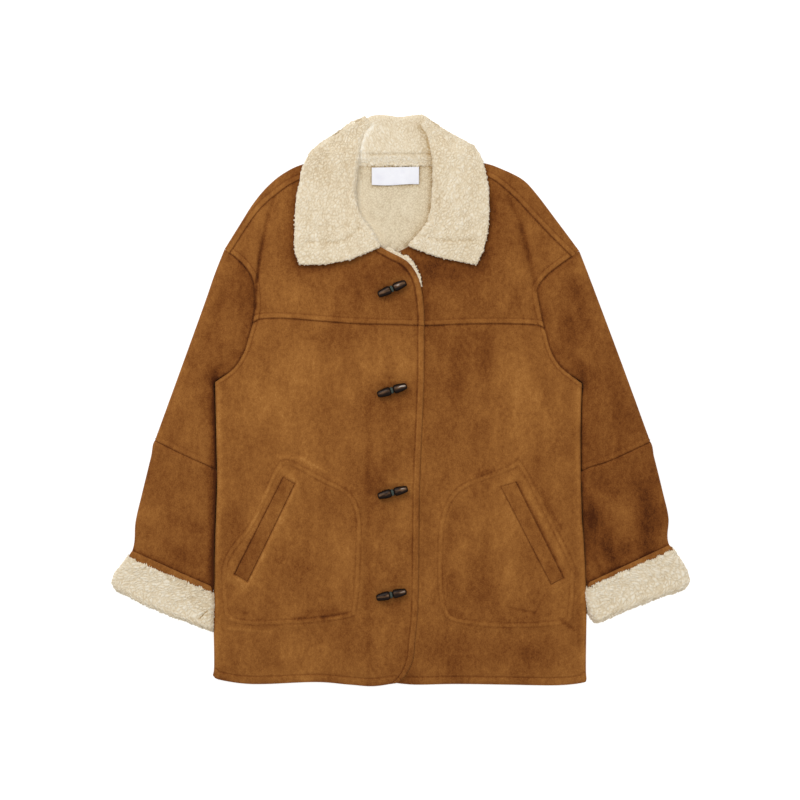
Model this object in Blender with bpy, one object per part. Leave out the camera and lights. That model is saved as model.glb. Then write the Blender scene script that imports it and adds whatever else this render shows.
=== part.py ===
"""A shearling coat laid flat on its back, collar up the page, with four toggles closing its front.

Sizes are millimetres in the tables and metres in the meshes. +X runs to the viewer's right, +Y from the hem towards
the collar and +Z up from the surface that the coat lies on. Every cloth piece is a middle surface of its own cut with
a wall round it, and the panels lie on each other as they do in the folded coat. "left" and "right" are the viewer's.
"""

import math

import bpy
import numpy as np
from mathutils import Vector
from mathutils.bvhtree import BVHTree

MM = 0.001
ORIGIN = (1.2, 0.0)  # the middle of the whole plan outline

# Walls
WALL = 5.0  # suede with its bonded fleece
COLLAR_WALL = 7.0
HEM_WALL = 3.5  # the turned edge of a cuff
BAG_WALL = 1.0
WELT_WALL = 1.4
LABEL_WALL = 0.8
GAP = 0.3  # between neighbouring pieces
SEAT = 0.5  # under a piece that follows a curved one

# Heights of the middle surfaces
ROLL = (WALL + GAP) / 2  # radius of an edge where a front wall turns into a back wall
BACK_LEVEL = WALL / 2
FRONT_LEVEL = BACK_LEVEL + WALL + GAP
LAP_RISE = WALL + 1.3  # the left front lies on the right one
LOFT = 1.8  # how far the fleece props the fronts up
BAG_BUMP = 1.6  # how far a pocket bag does
FALL_LEVEL = COLLAR_WALL / 2  # the fall of the collar lies on the floor behind the neck
BAND_LEVEL = FALL_LEVEL + COLLAR_WALL + GAP
LEAF_LOW = FALL_LEVEL + COLLAR_WALL + 0.7  # a leaf where it lies over the fall
STAND_LEVEL = WALL + 2 * GAP + COLLAR_WALL / 2  # the stand where it lies on the back's inside
LEAF_ROLL = 3.7  # radius of the collar's inner roll
LEAF_SHOULDER = 9.0  # breadth of its outer edge where that turns down
SLEEVE_CROWN = 3.6
CUFF_CROWN = 2.4
CUFF_STEP = WALL + SEAT  # from a wall of the cuff to the sleeve inside it
CENTRE_FRONT = -9.0  # the line that the two fronts' edges mirror

SUEDE = ("suede", (0.235, 0.088, 0.022), 0.9)
FLEECE = ("fleece", (0.73, 0.62, 0.456), 0.95)
WOOD = ("dark_wood", (0.028, 0.013, 0.008), 0.28)
THREAD = ("toggle_thread", (0.09, 0.085, 0.06), 0.8)
SATIN = ("label_satin", (0.84, 0.83, 0.87), 0.5)

# Plan outlines as (x, y), each from the hem up or from the armhole inwards
SIDE = {
    "left": [(-285, -418), (-283, -400), (-284, -313), (-282, -221), (-279, -130), (-280, -60), (-282, 28)],
    "right": [(284, -424), (283, -400), (284, -290), (280, -211), (277, -174), (275, -60), (277, 26)],
}
ARMHOLE_LOW = {  # from the underarm to the yoke seam
    "left": [(-282, 28), (-255, 48), (-238, 73), (-230, 98), (-224, 118)],
    "right": [(277, 26), (245, 52), (230, 76), (222, 104), (220, 109)],
}
ARMHOLE_HIGH = {  # on to the forward shoulder seam; the shoulder's outline starts a little further
    "left": [(-224, 118), (-221, 146), (-223, 180), (-233, 200), (-248, 216), (-259, 224)],
    "right": [(220, 109), (215, 134), (210, 160), (211, 174), (222, 189), (240, 204), (261, 219)],
}
SHOULDER = {
    "left": [(-267, 231), (-244, 268), (-223, 301), (-201, 327), (-176, 347), (-145, 361), (-88, 372)],
    "right": [(273, 228), (235, 279), (206, 317), (185, 338), (150, 355), (127, 362), (74, 371)],
}
FORWARD_SEAM = {
    "left": [(-259, 224), (-218, 285), (-186, 315), (-151, 336), (-90, 350)],
    "right": [(261, 219), (224, 256), (192, 290), (171, 312), (135, 339), (78, 351)],
}
YOKE_SEAM = {
    "left": [(-224, 118), (-212, 124), (-176, 125), (-133, 122), (-69, 117), (-27, 116), (37, 114)],
    "right": [(220, 109), (207, 115), (150, 117), (86, 116), (39, 114), (-55, 114)],
}
HEM = {
    "left": [(-285, -418), (-276, -424), (-241, -430), (-203, -431), (-127, -428), (-77, -432), (-42, -434), (-6, -429)],
    "right": [(284, -424), (278, -429), (238, -433), (162, -432), (86, -431), (24, -432), (-12, -429)],
}
BACK_HEM = [(-285, -417), (-268, -424), (-200, -427), (-6, -426), (160, -429), (262, -428), (284, -423)]
FRONT_EDGE = [(-6, -429), (4, -422), (11, -413), (17, -401), (21, -388), (23, -365), (28, -304), (30, -136), (36, 16),
              (37, 114)]
YOKE_EDGE = [(37, 114), (37, 133), (34, 162), (30, 181), (24, 195), (15, 208), (3, 217), (-13, 225), (-28, 233)]
NECKLINE = {
    "left": [(-28, 233), (-46, 243), (-64, 262), (-78, 285), (-84, 310), (-87, 330), (-90, 350)],
    "right": [(10, 233), (30, 242), (51, 256), (64, 280), (69, 308), (72, 332), (78, 351)],
}
BACK_NECK = [(-62, 358), (-26, 358), (12, 358), (48, 358)]

# Sleeves: the edges from the armhole to the elbow and on into the cuff, and the elbow seam
SLEEVE_INNER = {
    "left": [(-282, 28), (-282, -5), (-281, -60), (-281, -104)],
    "right": [(277, 26), (277, -5), (276, -60), (276, -106)],
}
SLEEVE_OUTER = {
    "left": [(-267, 231), (-282, 193), (-303, 133), (-373, -60)],
    "right": [(273, 228), (290, 184), (335, 64), (381, -62)],
}
ELBOW = {
    "left": [(-281, -104), (-292, -98), (-328, -82), (-373, -60)],
    "right": [(276, -106), (287, -101), (320, -90), (381, -62)],
}
FOREARM_INNER = {  # down to the cuff's upper edge
    "left": [(-281, -104), (-283, -165), (-284, -221), (-286, -262)],
    "right": [(276, -106), (279, -165), (281, -211), (285, -258)],
}
FOREARM_OUTER = {
    "left": [(-373, -60), (-390, -130), (-402, -182)],
    "right": [(381, -62), (398, -130), (409, -182)],
}
# The cuff's two edges, each from its fold up to its upper edge, its hem's upper corners and the bow of its fold
CUFF_INNER = {"left": [(-286, -350), (-287, -322), (-290, -294)], "right": [(290, -339), (287, -322), (286, -286)]}
CUFF_OUTER = {"left": [(-440, -284), (-434, -262), (-415, -238)], "right": [(443, -281), (434, -252), (417, -226)]}
CUFF_HEM = {"left": ((-287, -282), (-409, -227)), "right": ((286, -276), (411, -218))}
CUFF_BOW = {"left": 6, "right": 3}
CUFF_SEAM = 0.42  # where the sleeve ends inside its cuff, as a share of the cuff's height from the fold

# Collar leaves, a row for each section from the front end round to the top of the neck:
# the inner roll's x and y, the outer edge's x and y, bow of the section and how far the outer edge turns down (0 to 1)
LEAF = {
    "left": [
        (-28, 236, -154, 208, -11, 0.0),
        (-36, 250, -160, 226, -7, 0.0),
        (-46, 266, -160, 243, -4, 0.0),
        (-60, 287, -160, 266, -2, 0.0),
        (-66, 312, -159, 296, 0, 0.0),
        (-66, 336, -153, 330, 0, 0.0),
        (-63, 358, -148, 355, 0, 0.0),
        (-60, 376, -139, 375, 0, 0.3),
        (-56, 391, -122, 392, 0, 1.0),
        (-52, 403, -97, 409, 0, 1.0),
        (-48, 411, -76, 423, 0, 1.0),
        (-41, 417, -56, 433, 0, 0.6),
    ],
    "right": [
        (11, 237, 116, 207, -5, 0.0),
        (22, 247, 128, 228, -4, 0.0),
        (31, 257, 132, 246, -2, 0.0),
        (42, 271, 136, 268, 0, 0.0),
        (47, 295, 136, 292, 0, 0.0),
        (49, 325, 135, 322, 0, 0.0),
        (49, 352, 130, 346, 0, 0.0),
        (48, 368, 124, 367, 0, 0.0),
        (45, 382, 115, 386, 0, 0.8),
        (41, 396, 89, 401, 0, 1.0),
        (37, 408, 64, 416, 0, 1.0),
        (30, 415, 44, 430, 0, 0.6),
    ],
}
BAND_SEAM_Y = 358.7
BAND_TOP_Y = [432, 430, 428, 429, 428]  # in even steps from left to right
FALL_Y = 382.0
FALL_X = (-108, 94)

# Pockets: the stitched outline of each bag, and each welt's four corners from its upper outer one
POCKET = {
    "left": [(-182, -91), (-165, -91), (-115, -117), (-84, -133), (-66, -153), (-59, -182), (-60, -237), (-65, -310),
             (-80, -330), (-177, -340), (-240, -340), (-263, -330), (-269, -310), (-268, -243), (-227, -182), (-195, -112)],
    "right": [(180, -87), (204, -126), (264, -246), (266, -262), (263, -313), (252, -338), (162, -345), (86, -337),
              (66, -322), (58, -287), (57, -237), (60, -187), (70, -154), (86, -133), (107, -121), (166, -98)],
}
WELT = {
    "left": [(-177, -116), (-160, -126), (-232, -275), (-251, -263)],
    "right": [(176, -124), (153, -130), (230, -279), (248, -269)],
}

# The largest soft creases, as troughs in the front layer: two ends, depth and half width
CREASES = [
    (-198, 292, -212, 214, 1.6, 9),
    (-212, 214, -219, 160, 1.4, 9),
    (166, 308, 188, 262, 1.2, 9),
    (188, 262, 205, 180, 1.6, 10),
]
SLEEVE_CREASES = {
    "left": [],
    "right": [(296, -188, 336, -250, 2.4, 10), (318, -240, 352, -214, 1.8, 9), (366, -186, 372, -236, 1.6, 10)],
}

# Toggles: centre, tilt in degrees, and the turned profile as (place along the length, radius)
TOGGLES = [(-12, 170, 24.0), (-12, 16, 17.0), (-11, -139, 14.5), (-13, -294, 12.5)]
TOGGLE_PROFILE = [(-23.5, 3.0), (-22.3, 4.4), (-15, 6.1), (-8, 6.8), (-4, 5.9), (-2.6, 4.4), (2.6, 4.4), (4, 5.9),
                  (8, 6.8), (15, 6.1), (22.3, 4.4), (23.5, 3.0)]
TOGGLE_FLATNESS = 0.86
TOGGLE_SIDES = 14
LABEL = (-43, 29, 328, 355)  # x from, x to, y from, y to
PILE_REACH = 6.0  # of the fleece beyond the left front's upper edge

# How finely the pieces are divided
SIDE_STEPS = 11
SIDE_SHARES = np.linspace(0, 1, SIDE_STEPS + 1) ** 1.4  # closer near the hem
ARMHOLE_LOW_STEPS = 3
ARMHOLE_HIGH_STEPS = 7
ARMHOLE_STEPS = ARMHOLE_LOW_STEPS + ARMHOLE_HIGH_STEPS + 1
EDGE_ANGLES = np.radians([0, 40, 90])  # round the outer corner of a body panel's side
EDGE_OUTER = WALL * (1 - np.cos(EDGE_ANGLES))  # how far in from the side the rounded face lies
EDGE_INNER = np.array([0.7, 0.85, 1.0]) * WALL  # and the flat one
EDGE_PLACES = np.array([0.5, 2.0, 5.0])  # the same columns where the side is a flat seam
SIDE_PLACES = np.array([16.0, 36.0, 80.0])  # from the body's side inwards
LAP_RAMP = 54.0  # over which the left front comes down beside the right one's edge
LAP_MARGIN = 4.0
COLUMNS = len(EDGE_ANGLES) + len(SIDE_PLACES) + 6
TURN_ANGLES = np.radians([-50, 0, 50])
LEAF_STATIONS = 17
SHOULDER_ANGLES = np.radians([60, 30, 0])


def ease(t):
    t = np.clip(t, 0.0, 1.0)
    return t * t * (3 - 2 * t)


def path(points):
    """A line through the points, read by its share of the whole length, from 0 to 1."""
    points = np.array(points, float)
    run = np.concatenate([[0], np.cumsum(np.linalg.norm(np.diff(points, axis=0), axis=1))])
    return lambda t: np.stack([np.interp(t, run / run[-1], points[:, k]) for k in (0, 1)], axis=-1)


def curve(points):
    """The smooth Catmull-Rom line through the points, read the same way."""
    points = np.array(points, float)
    ends = np.vstack([2 * points[0] - points[1], points, 2 * points[-1] - points[-2]])
    t = np.linspace(0, 1, 10, endpoint=False)[:, None]
    dense = []
    for a, b, c, d in zip(ends, ends[1:], ends[2:], ends[3:]):
        dense.append(0.5 * (2 * b + (c - a) * t + (2 * a - 5 * b + 4 * c - d) * t**2 + (3 * b - a - 3 * c + d) * t**3))
    return path(np.vstack(dense + [points[-1:]]))


def shares(count):
    return np.linspace(0, 1, count + 1)


def fill(left, right, bottom, top, across, up=None):
    """Plan points of a panel from its four edges; across holds each row's places from 0 at the left to 1.

    up says how much each row bends as the top does.
    """
    def bow(line):
        return line(across) - line(0.0) - across[..., None] * (line(1.0) - line(0.0))

    middle = (left + right) / 2
    run = np.concatenate([[0], np.cumsum(np.linalg.norm(np.diff(middle, axis=0), axis=1))])
    run = (run / run[-1])[:, None, None]
    up = run if up is None else np.array(up)[:, None, None]
    straight = left[:, None] + (right - left)[:, None] * across[..., None]
    return straight + (1 - run) * bow(bottom) + up * bow(top)


def segment_distance(x, y, x0, y0, x1, y1):
    """Distance to a segment, and the share of it where the nearest point lies."""
    dx, dy = x1 - x0, y1 - y0
    along = np.clip(((x - x0) * dx + (y - y0) * dy) / (dx * dx + dy * dy), 0, 1)
    return np.hypot(x - x0 - along * dx, y - y0 - along * dy), along


def inside_distance(x, y, outline):
    """Distance to a closed outline, positive inside it."""
    nearest = np.full(np.shape(x), 1e9)
    inside = np.zeros(np.shape(x), bool)
    for (x0, y0), (x1, y1) in zip(outline, outline[1:] + outline[:1]):
        nearest = np.minimum(nearest, segment_distance(x, y, x0, y0, x1, y1)[0])
        crosses = (y0 > y) != (y1 > y)
        inside ^= crosses & (x < (x1 - x0) * (y - y0) / ((y1 - y0) or 1e-9) + x0)
    return np.where(inside, nearest, -nearest)


def creases(x, y, rows):
    total = np.zeros(np.shape(x))
    for x0, y0, x1, y1, depth, half_width in rows:
        distance, _ = segment_distance(x, y, x0, y0, x1, y1)
        total = np.maximum(total, depth * np.exp(-((distance / half_width) ** 2)))
    return total


# Heights of the layers


def armhole(side):
    """The armhole's vertices from the underarm to the shoulder's outline; every piece that meets there shares them."""
    low = curve(ARMHOLE_LOW[side])(shares(ARMHOLE_LOW_STEPS))
    high = curve(ARMHOLE_HIGH[side])(shares(ARMHOLE_HIGH_STEPS))
    return np.vstack([low, high[1:], SHOULDER[side][:1]])


def side_distance(x, y):
    """How far a point lies inside the body's outline, measured along X."""
    edges = []
    for name in ("left", "right"):
        outline = np.array(SIDE[name] + ARMHOLE_LOW[name][1:] + ARMHOLE_HIGH[name][1:] + SHOULDER[name], float)
        edges.append(np.interp(y, outline[:, 1], outline[:, 0]))
    return np.minimum(x - edges[0], edges[1] - x)


def overlap(y):
    """Half the breadth over which the fronts lie double, so from the centre front to either edge."""
    edge = np.array(FRONT_EDGE + YOKE_EDGE[1:], float)
    least = 24 * ease((y - 150) / 40)
    return np.maximum(least, np.interp(y, edge[:, 1], edge[:, 0]) - CENTRE_FRONT)


def front_height(x, y):
    """The front layer without its lap: wraps, yokes and fronts."""
    loft = ease(side_distance(x, y) / 34) * ease((y + 436) / 40)
    lapped = ease((abs(x - CENTRE_FRONT) - overlap(y)) / 26)  # nothing props the layer up where it lies double
    pockets = sum(ease((inside_distance(x, y, POCKET[name]) + 12) / 12) for name in POCKET)
    return FRONT_LEVEL + np.maximum(0, LOFT * loft * lapped + BAG_BUMP * pockets - creases(x, y, CREASES))


def left_front_height(x, y):
    """The left front rises over the right one near its own edge, and comes down again beside the neck."""
    beyond = CENTRE_FRONT - overlap(y) - LAP_MARGIN - x
    return front_height(x, y) + LAP_RISE * (1 - ease(beyond / LAP_RAMP)) * (1 - ease((y - 238) / 70))


LAYER_HEIGHT = {"left": left_front_height, "right": front_height}


# Solids


def material(name, colour, roughness):
    made = bpy.data.materials.get(name)
    if made is None:
        made = bpy.data.materials.new(name)
        made.use_nodes = True
        shader = made.node_tree.nodes["Principled BSDF"]
        shader.inputs["Base Color"].default_value = (*colour, 1.0)
        shader.inputs["Roughness"].default_value = roughness
        shader.inputs["Metallic"].default_value = 0.0
        made.diffuse_color = (*colour, 1.0)
    return made


def add_object(name, points, faces, finish, place=(0, 0, 0), tilt=0.0, smooth=False):
    """One closed object whose points are in millimetres; its faces are turned to look outwards."""
    points = np.asarray(points, float)
    volume = sum(np.dot(points[f[0]], np.cross(points[f[k]], points[f[k + 1]]))
                 for f in faces for k in range(1, len(f) - 1))
    if volume < 0:
        faces = [face[::-1] for face in faces]
    mesh = bpy.data.meshes.new(name)
    mesh.from_pydata([tuple(p) for p in points * MM], [], faces)
    mesh.validate()
    if smooth:
        mesh.shade_smooth()
        mesh.set_sharp_from_angle(angle=math.radians(40))
    mesh.materials.append(material(*finish))
    made = bpy.data.objects.new(name, mesh)
    bpy.context.collection.objects.link(made)
    made.parent = bpy.data.objects["coat"]
    made.location = ((place[0] - ORIGIN[0]) * MM, (place[1] - ORIGIN[1]) * MM, place[2] * MM)
    made.rotation_euler.z = math.radians(tilt)
    return made


def grid_faces(rows, columns, kept=None, round_columns=False, round_rows=False):
    faces = []
    for k in range(rows if round_rows else rows - 1):
        for j in range(columns if round_columns else columns - 1):
            if kept is None or kept[k, j]:
                n, m = (j + 1) % columns, (k + 1) % rows
                faces.append((k * columns + j, k * columns + n, m * columns + n, m * columns + j))
    return faces


def walled(name, upper, lower, finish, kept=None, round_columns=False):
    """A wall between two faces, each given as rows of (x, y, z) in millimetres."""
    rows, columns = upper.shape[:2]
    faces = grid_faces(rows, columns, kept, round_columns)
    used = sorted({i for face in faces for i in face})
    place = {old: new for new, old in enumerate(used)}
    faces = [tuple(place[i] for i in face) for face in faces]
    count = len(used)
    edges = {(face[k], face[(k + 1) % 4]) for face in faces for k in range(4)}
    rim = [(b, a, a + count, b + count) for a, b in sorted(edges) if (b, a) not in edges]
    faces = faces + [tuple(i + count for i in face[::-1]) for face in faces] + rim
    points = np.vstack([upper.reshape(-1, 3)[used], lower.reshape(-1, 3)[used]])
    return add_object(name, points, faces, finish)


def section_offset(line, across, distance, slopes=None):
    """Moves a section's points square to it; the section stands upright along the plan direction across.

    slopes gives the line's own slope at a point, as an angle, or nan where its neighbours tell it.
    """
    steps = np.stack([(line[1:, :2] - line[:-1, :2]) @ across, line[1:, 2] - line[:-1, 2]], axis=-1)
    angle = np.unwrap(np.arctan2(steps[:, 1], steps[:, 0]))
    angle = np.concatenate([angle[:1], (angle[:-1] + angle[1:]) / 2, angle[-1:]])
    if slopes is not None:
        angle = np.where(np.isnan(slopes), angle, slopes)
    return line + distance * np.column_stack([-np.sin(angle)[:, None] * across, np.cos(angle)])


def wall_faces(surface, across, wall, slopes=None):
    slopes = [None] * len(surface) if slopes is None else slopes
    return [np.array([section_offset(row, e, d, t) for row, e, t in zip(surface, across, slopes)])
            for d in (wall / 2, -wall / 2)]


def cloth(name, surface, wall, finish, across=None, slopes=None):
    """A wall round a middle surface; across gives each row's plan direction where the rows are rolled."""
    if across is None:
        across = np.tile((1.0, 0.0), (len(surface), 1))
    return walled(name, *wall_faces(surface, across, wall, slopes), finish)


def with_height(plan, height):
    return np.concatenate([plan, np.asarray(height)[..., None]], axis=-1)


def finder(made):
    """Reads the height of an object's top at a plan point."""
    mesh = made.data
    tree = BVHTree.FromPolygons([v.co for v in mesh.vertices], [tuple(p.vertices) for p in mesh.polygons])

    def height(x, y):
        return tree.ray_cast(Vector((x * MM, y * MM, 1.0)), Vector((0, 0, -1)))[0].z / MM

    return np.vectorize(height)


# Body


def side_rows(name):
    """Points up the body's side: the side seam and then the armhole, with how much each row's edge is rolled."""
    seam = curve(SIDE[name])(SIDE_SHARES)
    return np.vstack([seam, armhole(name)[1:]]), np.concatenate([np.ones(SIDE_STEPS + 1), np.zeros(ARMHOLE_STEPS)])


def edge_columns(rolled):
    """Distances of the columns near a side."""
    rolled = rolled[:, None]
    places = rolled * (EDGE_OUTER + EDGE_INNER) / 2 + (1 - rolled) * EDGE_PLACES
    return np.hstack([places, np.tile(SIDE_PLACES, (len(rolled), 1))])


def round_edge(rounded, flat, rolled, inward, columns, up):
    """Rounds the outer corner of a panel's side where it is rolled; up is 1 where the corner is on top."""
    for angle, outer, inner, column in zip(EDGE_ANGLES, EDGE_OUTER, EDGE_INNER, columns):
        half = (outer - inner) / 2 * rolled[:, None] * inward
        rounded[:, column, :2] += half
        flat[:, column, :2] -= half
        rounded[:, column, 2] -= up * rolled * WALL * (1 - math.sin(angle))


def direction(a, b):
    return (b - a) / np.linalg.norm(b - a, axis=-1, keepdims=True)


def front_panel(side):
    """A front from its hem to the yoke seam; columns run from the side to the front edge."""
    outer, rolled = side_rows(side)
    rows = SIDE_STEPS + ARMHOLE_LOW_STEPS + 1
    outer, rolled = outer[:rows], rolled[:rows]
    edge = np.array(FRONT_EDGE, float)
    if side == "right":
        edge[:, 0] = 2 * CENTRE_FRONT - edge[:, 0]
    run = np.concatenate([[0], np.cumsum(np.linalg.norm(np.diff(outer, axis=0), axis=1))])
    inner = curve(edge)(run / run[-1])
    width = np.linalg.norm(inner - outer, axis=1)[:, None]
    lap = lap_places(inner)
    across = np.hstack([edge_columns(rolled), (SIDE_PLACES[-1] + width - lap[:, :1]) / 2, width - lap]) / width
    rise = ((np.arange(rows) - SIDE_STEPS) / ARMHOLE_LOW_STEPS).clip(0, 1)
    plan = fill(outer, inner, curve(HEM[side]), curve(YOKE_SEAM[side]), across, rise)
    plan[-1, :, 1] -= GAP / 2
    upper, lower = (with_height(plan, LAYER_HEIGHT[side](plan[..., 0], plan[..., 1]) + d) for d in (WALL / 2, -WALL / 2))
    round_edge(upper, lower, rolled, direction(outer, inner), range(3), 1)
    walled(f"front_{side}", upper, lower, SUEDE)
    return across[-1]


def lap_places(inner):
    """Columns near a front's free edge, as distances from it, where the left front comes down off the right one."""
    lap = 2 * np.maximum(overlap(inner[:, 1:]), 3.0)
    return np.hstack([lap + LAP_MARGIN + LAP_RAMP, lap + LAP_MARGIN + LAP_RAMP / 2, lap + LAP_MARGIN, lap / 2, 0 * lap])


def neckline(side):
    return curve(NECKLINE[side])(shares(ARMHOLE_HIGH_STEPS - 3))


def yoke_panel(side, across_seam):
    """A front yoke, from the yoke seam to the forward shoulder seam; columns run from the armhole inwards."""
    outer = armhole(side)[ARMHOLE_LOW_STEPS:-1]
    edge = np.array(YOKE_EDGE, float)
    if side == "right":
        edge[:, 0] = 2 * CENTRE_FRONT - edge[:, 0]
    inner = np.vstack([curve(edge)(shares(3)), neckline(side)[1:]])
    width = np.linalg.norm(inner - outer, axis=1)[:, None]
    lap = lap_places(inner) / width
    body = COLUMNS - lap.shape[1]
    across = np.hstack([shares(body) * (1 - lap[:, :1]), 1 - lap[:, 1:]])
    blend = (np.arange(len(outer)) / 3)[:, None].clip(0, 1)
    across = (1 - blend) * across_seam + blend * across
    blend = ((np.arange(len(outer)) - 4) / (len(outer) - 5))[:, None].clip(0, 1)
    across = (1 - blend) * across + blend * shares(COLUMNS - 1)
    plan = fill(outer, inner, curve(YOKE_SEAM[side]), curve(FORWARD_SEAM[side]), across)
    plan[0, :, 1] += GAP / 2
    plan[-1, :, 1] -= GAP
    x, y = plan[..., 0], plan[..., 1]
    cloth(f"yoke_{side}", with_height(plan, LAYER_HEIGHT[side](x, y)), WALL, SUEDE)


def back_panel():
    """The back in one piece: it folds over each shoulder down to the forward seam. Columns run left to right."""
    left, rolled = side_rows("left")
    right, _ = side_rows("right")
    near = edge_columns(rolled)
    width = np.linalg.norm(right - left, axis=1)[:, None]
    count = 2 * COLUMNS + len(BACK_NECK)
    middle = np.linspace(near[:, -1], width[:, 0] - near[:, -1], count - 2 * near.shape[1] + 2).T[:, 1:-1]
    across = np.hstack([near, middle, (width - near)[:, ::-1]]) / width

    steps = shares(COLUMNS - 1)
    folds, tops = {}, []
    for side in ("left", "right"):
        fold, seam = curve(SHOULDER[side])(steps), curve(FORWARD_SEAM[side])(steps)
        folds[side] = (fold, seam, direction(fold, seam))
        tops.append(fold + folds[side][2] * (WALL / 2 + ROLL))
    top = np.vstack([tops[0], np.array(BACK_NECK, float), tops[1][::-1]])
    run = np.concatenate([[0], np.cumsum(np.linalg.norm(np.diff(top, axis=0), axis=1))])
    left[-1], right[-1] = top[0], top[-1]
    blend = ease((np.arange(len(left)) - SIDE_STEPS) / ARMHOLE_STEPS)[:, None]
    across = (1 - blend) * across + blend * run / run[-1]
    rise = ((np.arange(len(left)) - SIDE_STEPS - ARMHOLE_LOW_STEPS) / (ARMHOLE_HIGH_STEPS + 1)).clip(0, 1)
    plan = fill(left, right, curve(BACK_HEM), path(top), across, rise)
    upper, lower = (with_height(plan, np.full(plan.shape[:2], level)) for level in (WALL, 0.0))
    inward = direction(left, right)
    round_edge(lower, upper, rolled, inward, range(3), -1)
    round_edge(lower, upper, rolled, -inward, range(-1, -4, -1), -1)

    # Round each shoulder: one section for each column, from the back's last row to the forward seam
    turn = np.radians([-90, -50, 0, 50, 90])
    folded = [np.repeat(face[-1:], len(turn), axis=0) for face in (upper, lower)]
    for side, first, step in (("left", 0, 1), ("right", count - 1, -1)):
        fold, seam, inward = folds[side]
        for k in range(COLUMNS):
            reach = WALL / 2 + ROLL * (1 - np.cos(turn))
            places = fold[k] + inward[k] * np.append(reach, np.linalg.norm(seam[k] - fold[k]))[:, None]
            x, y = places.T
            middle_level = BACK_LEVEL + ROLL
            level = np.append(np.sin(turn), 1.0)
            rise = np.where(level > 0, front_height(x, y) - middle_level, ROLL)
            line = with_height(places, middle_level + level * rise)
            slopes = np.append(turn, turn[-1]) + math.pi / 2
            for face, d in zip(folded, (WALL / 2, -WALL / 2)):
                face[:, first + step * k] = section_offset(line, -inward[k], d, slopes)[1:]
    upper, lower = np.vstack([upper, folded[0]]), np.vstack([lower, folded[1]])
    kept = np.ones((len(upper) - 1, count - 1), bool)
    kept[len(plan) - 1:, COLUMNS - 1:count - COLUMNS] = False
    return walled("back", upper, lower, SUEDE, kept)


# Sleeves and cuffs


EVEN = shares(6)[1:-1]
CUFF_LEVEL = CUFF_STEP + WALL + GAP / 2  # the height of the cuff's middle
SLEEVE_LEVEL = WALL + GAP / 2


def ring(first, last, level, radius, crown, bow=None):
    """A closed line round a flattened tube: along the floor, round the outer edge, back on top, round the inner edge.

    first and last are the centres of its two rounded edges; bow bends it in plan.
    """
    across = direction(first, last)
    share = np.concatenate([[0.0], EVEN, [1.0]])
    flat = first + (last - first) * share[:, None]
    dome = crown * np.sin(math.pi * share) ** 0.7
    low = with_height(flat, np.full(len(flat), level - radius))
    high = with_height(flat, level + radius + dome)[::-1]
    rounds = [with_height(end + sign * across * radius * np.cos(angles)[:, None], level + radius * np.sin(angles))
              for end, sign, angles in ((last, 1, TURN_ANGLES), (first, -1, TURN_ANGLES[::-1]))]
    line = np.vstack([low, rounds[0], high, rounds[1]])
    if bow is not None:
        line[:, :2] += bow(np.clip((line[:, :2] - first) @ across / np.linalg.norm(last - first), 0, 1))
    return line


def tube(name, rows, folds=(), kept=None):
    """A sleeve from rows of (first centre, last centre, height of the middle, crown, bow)."""
    faces = []
    for first, last, level, crown, bow in rows:
        pair = []
        for radius in (SLEEVE_LEVEL, SLEEVE_LEVEL - WALL):
            line = ring(first, last, level, radius, crown, bow)
            top = level + radius
            fold = np.maximum(top, line[:, 2] - creases(line[:, 0], line[:, 1], folds))
            line[:, 2] = np.where(line[:, 2] > top, fold, line[:, 2])
            pair.append(line)
        faces.append(pair)
    faces = np.array(faces)
    walled(name, faces[:, 0], faces[:, 1], SUEDE, kept, round_columns=True)


def seam_bow(points, weight=1.0):
    """How a seam leaves the straight line between its ends."""
    line = curve(points)
    return lambda t: weight * (line(t) - line(0.0) - np.asarray(t)[..., None] * (line(1.0) - line(0.0)))


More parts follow.
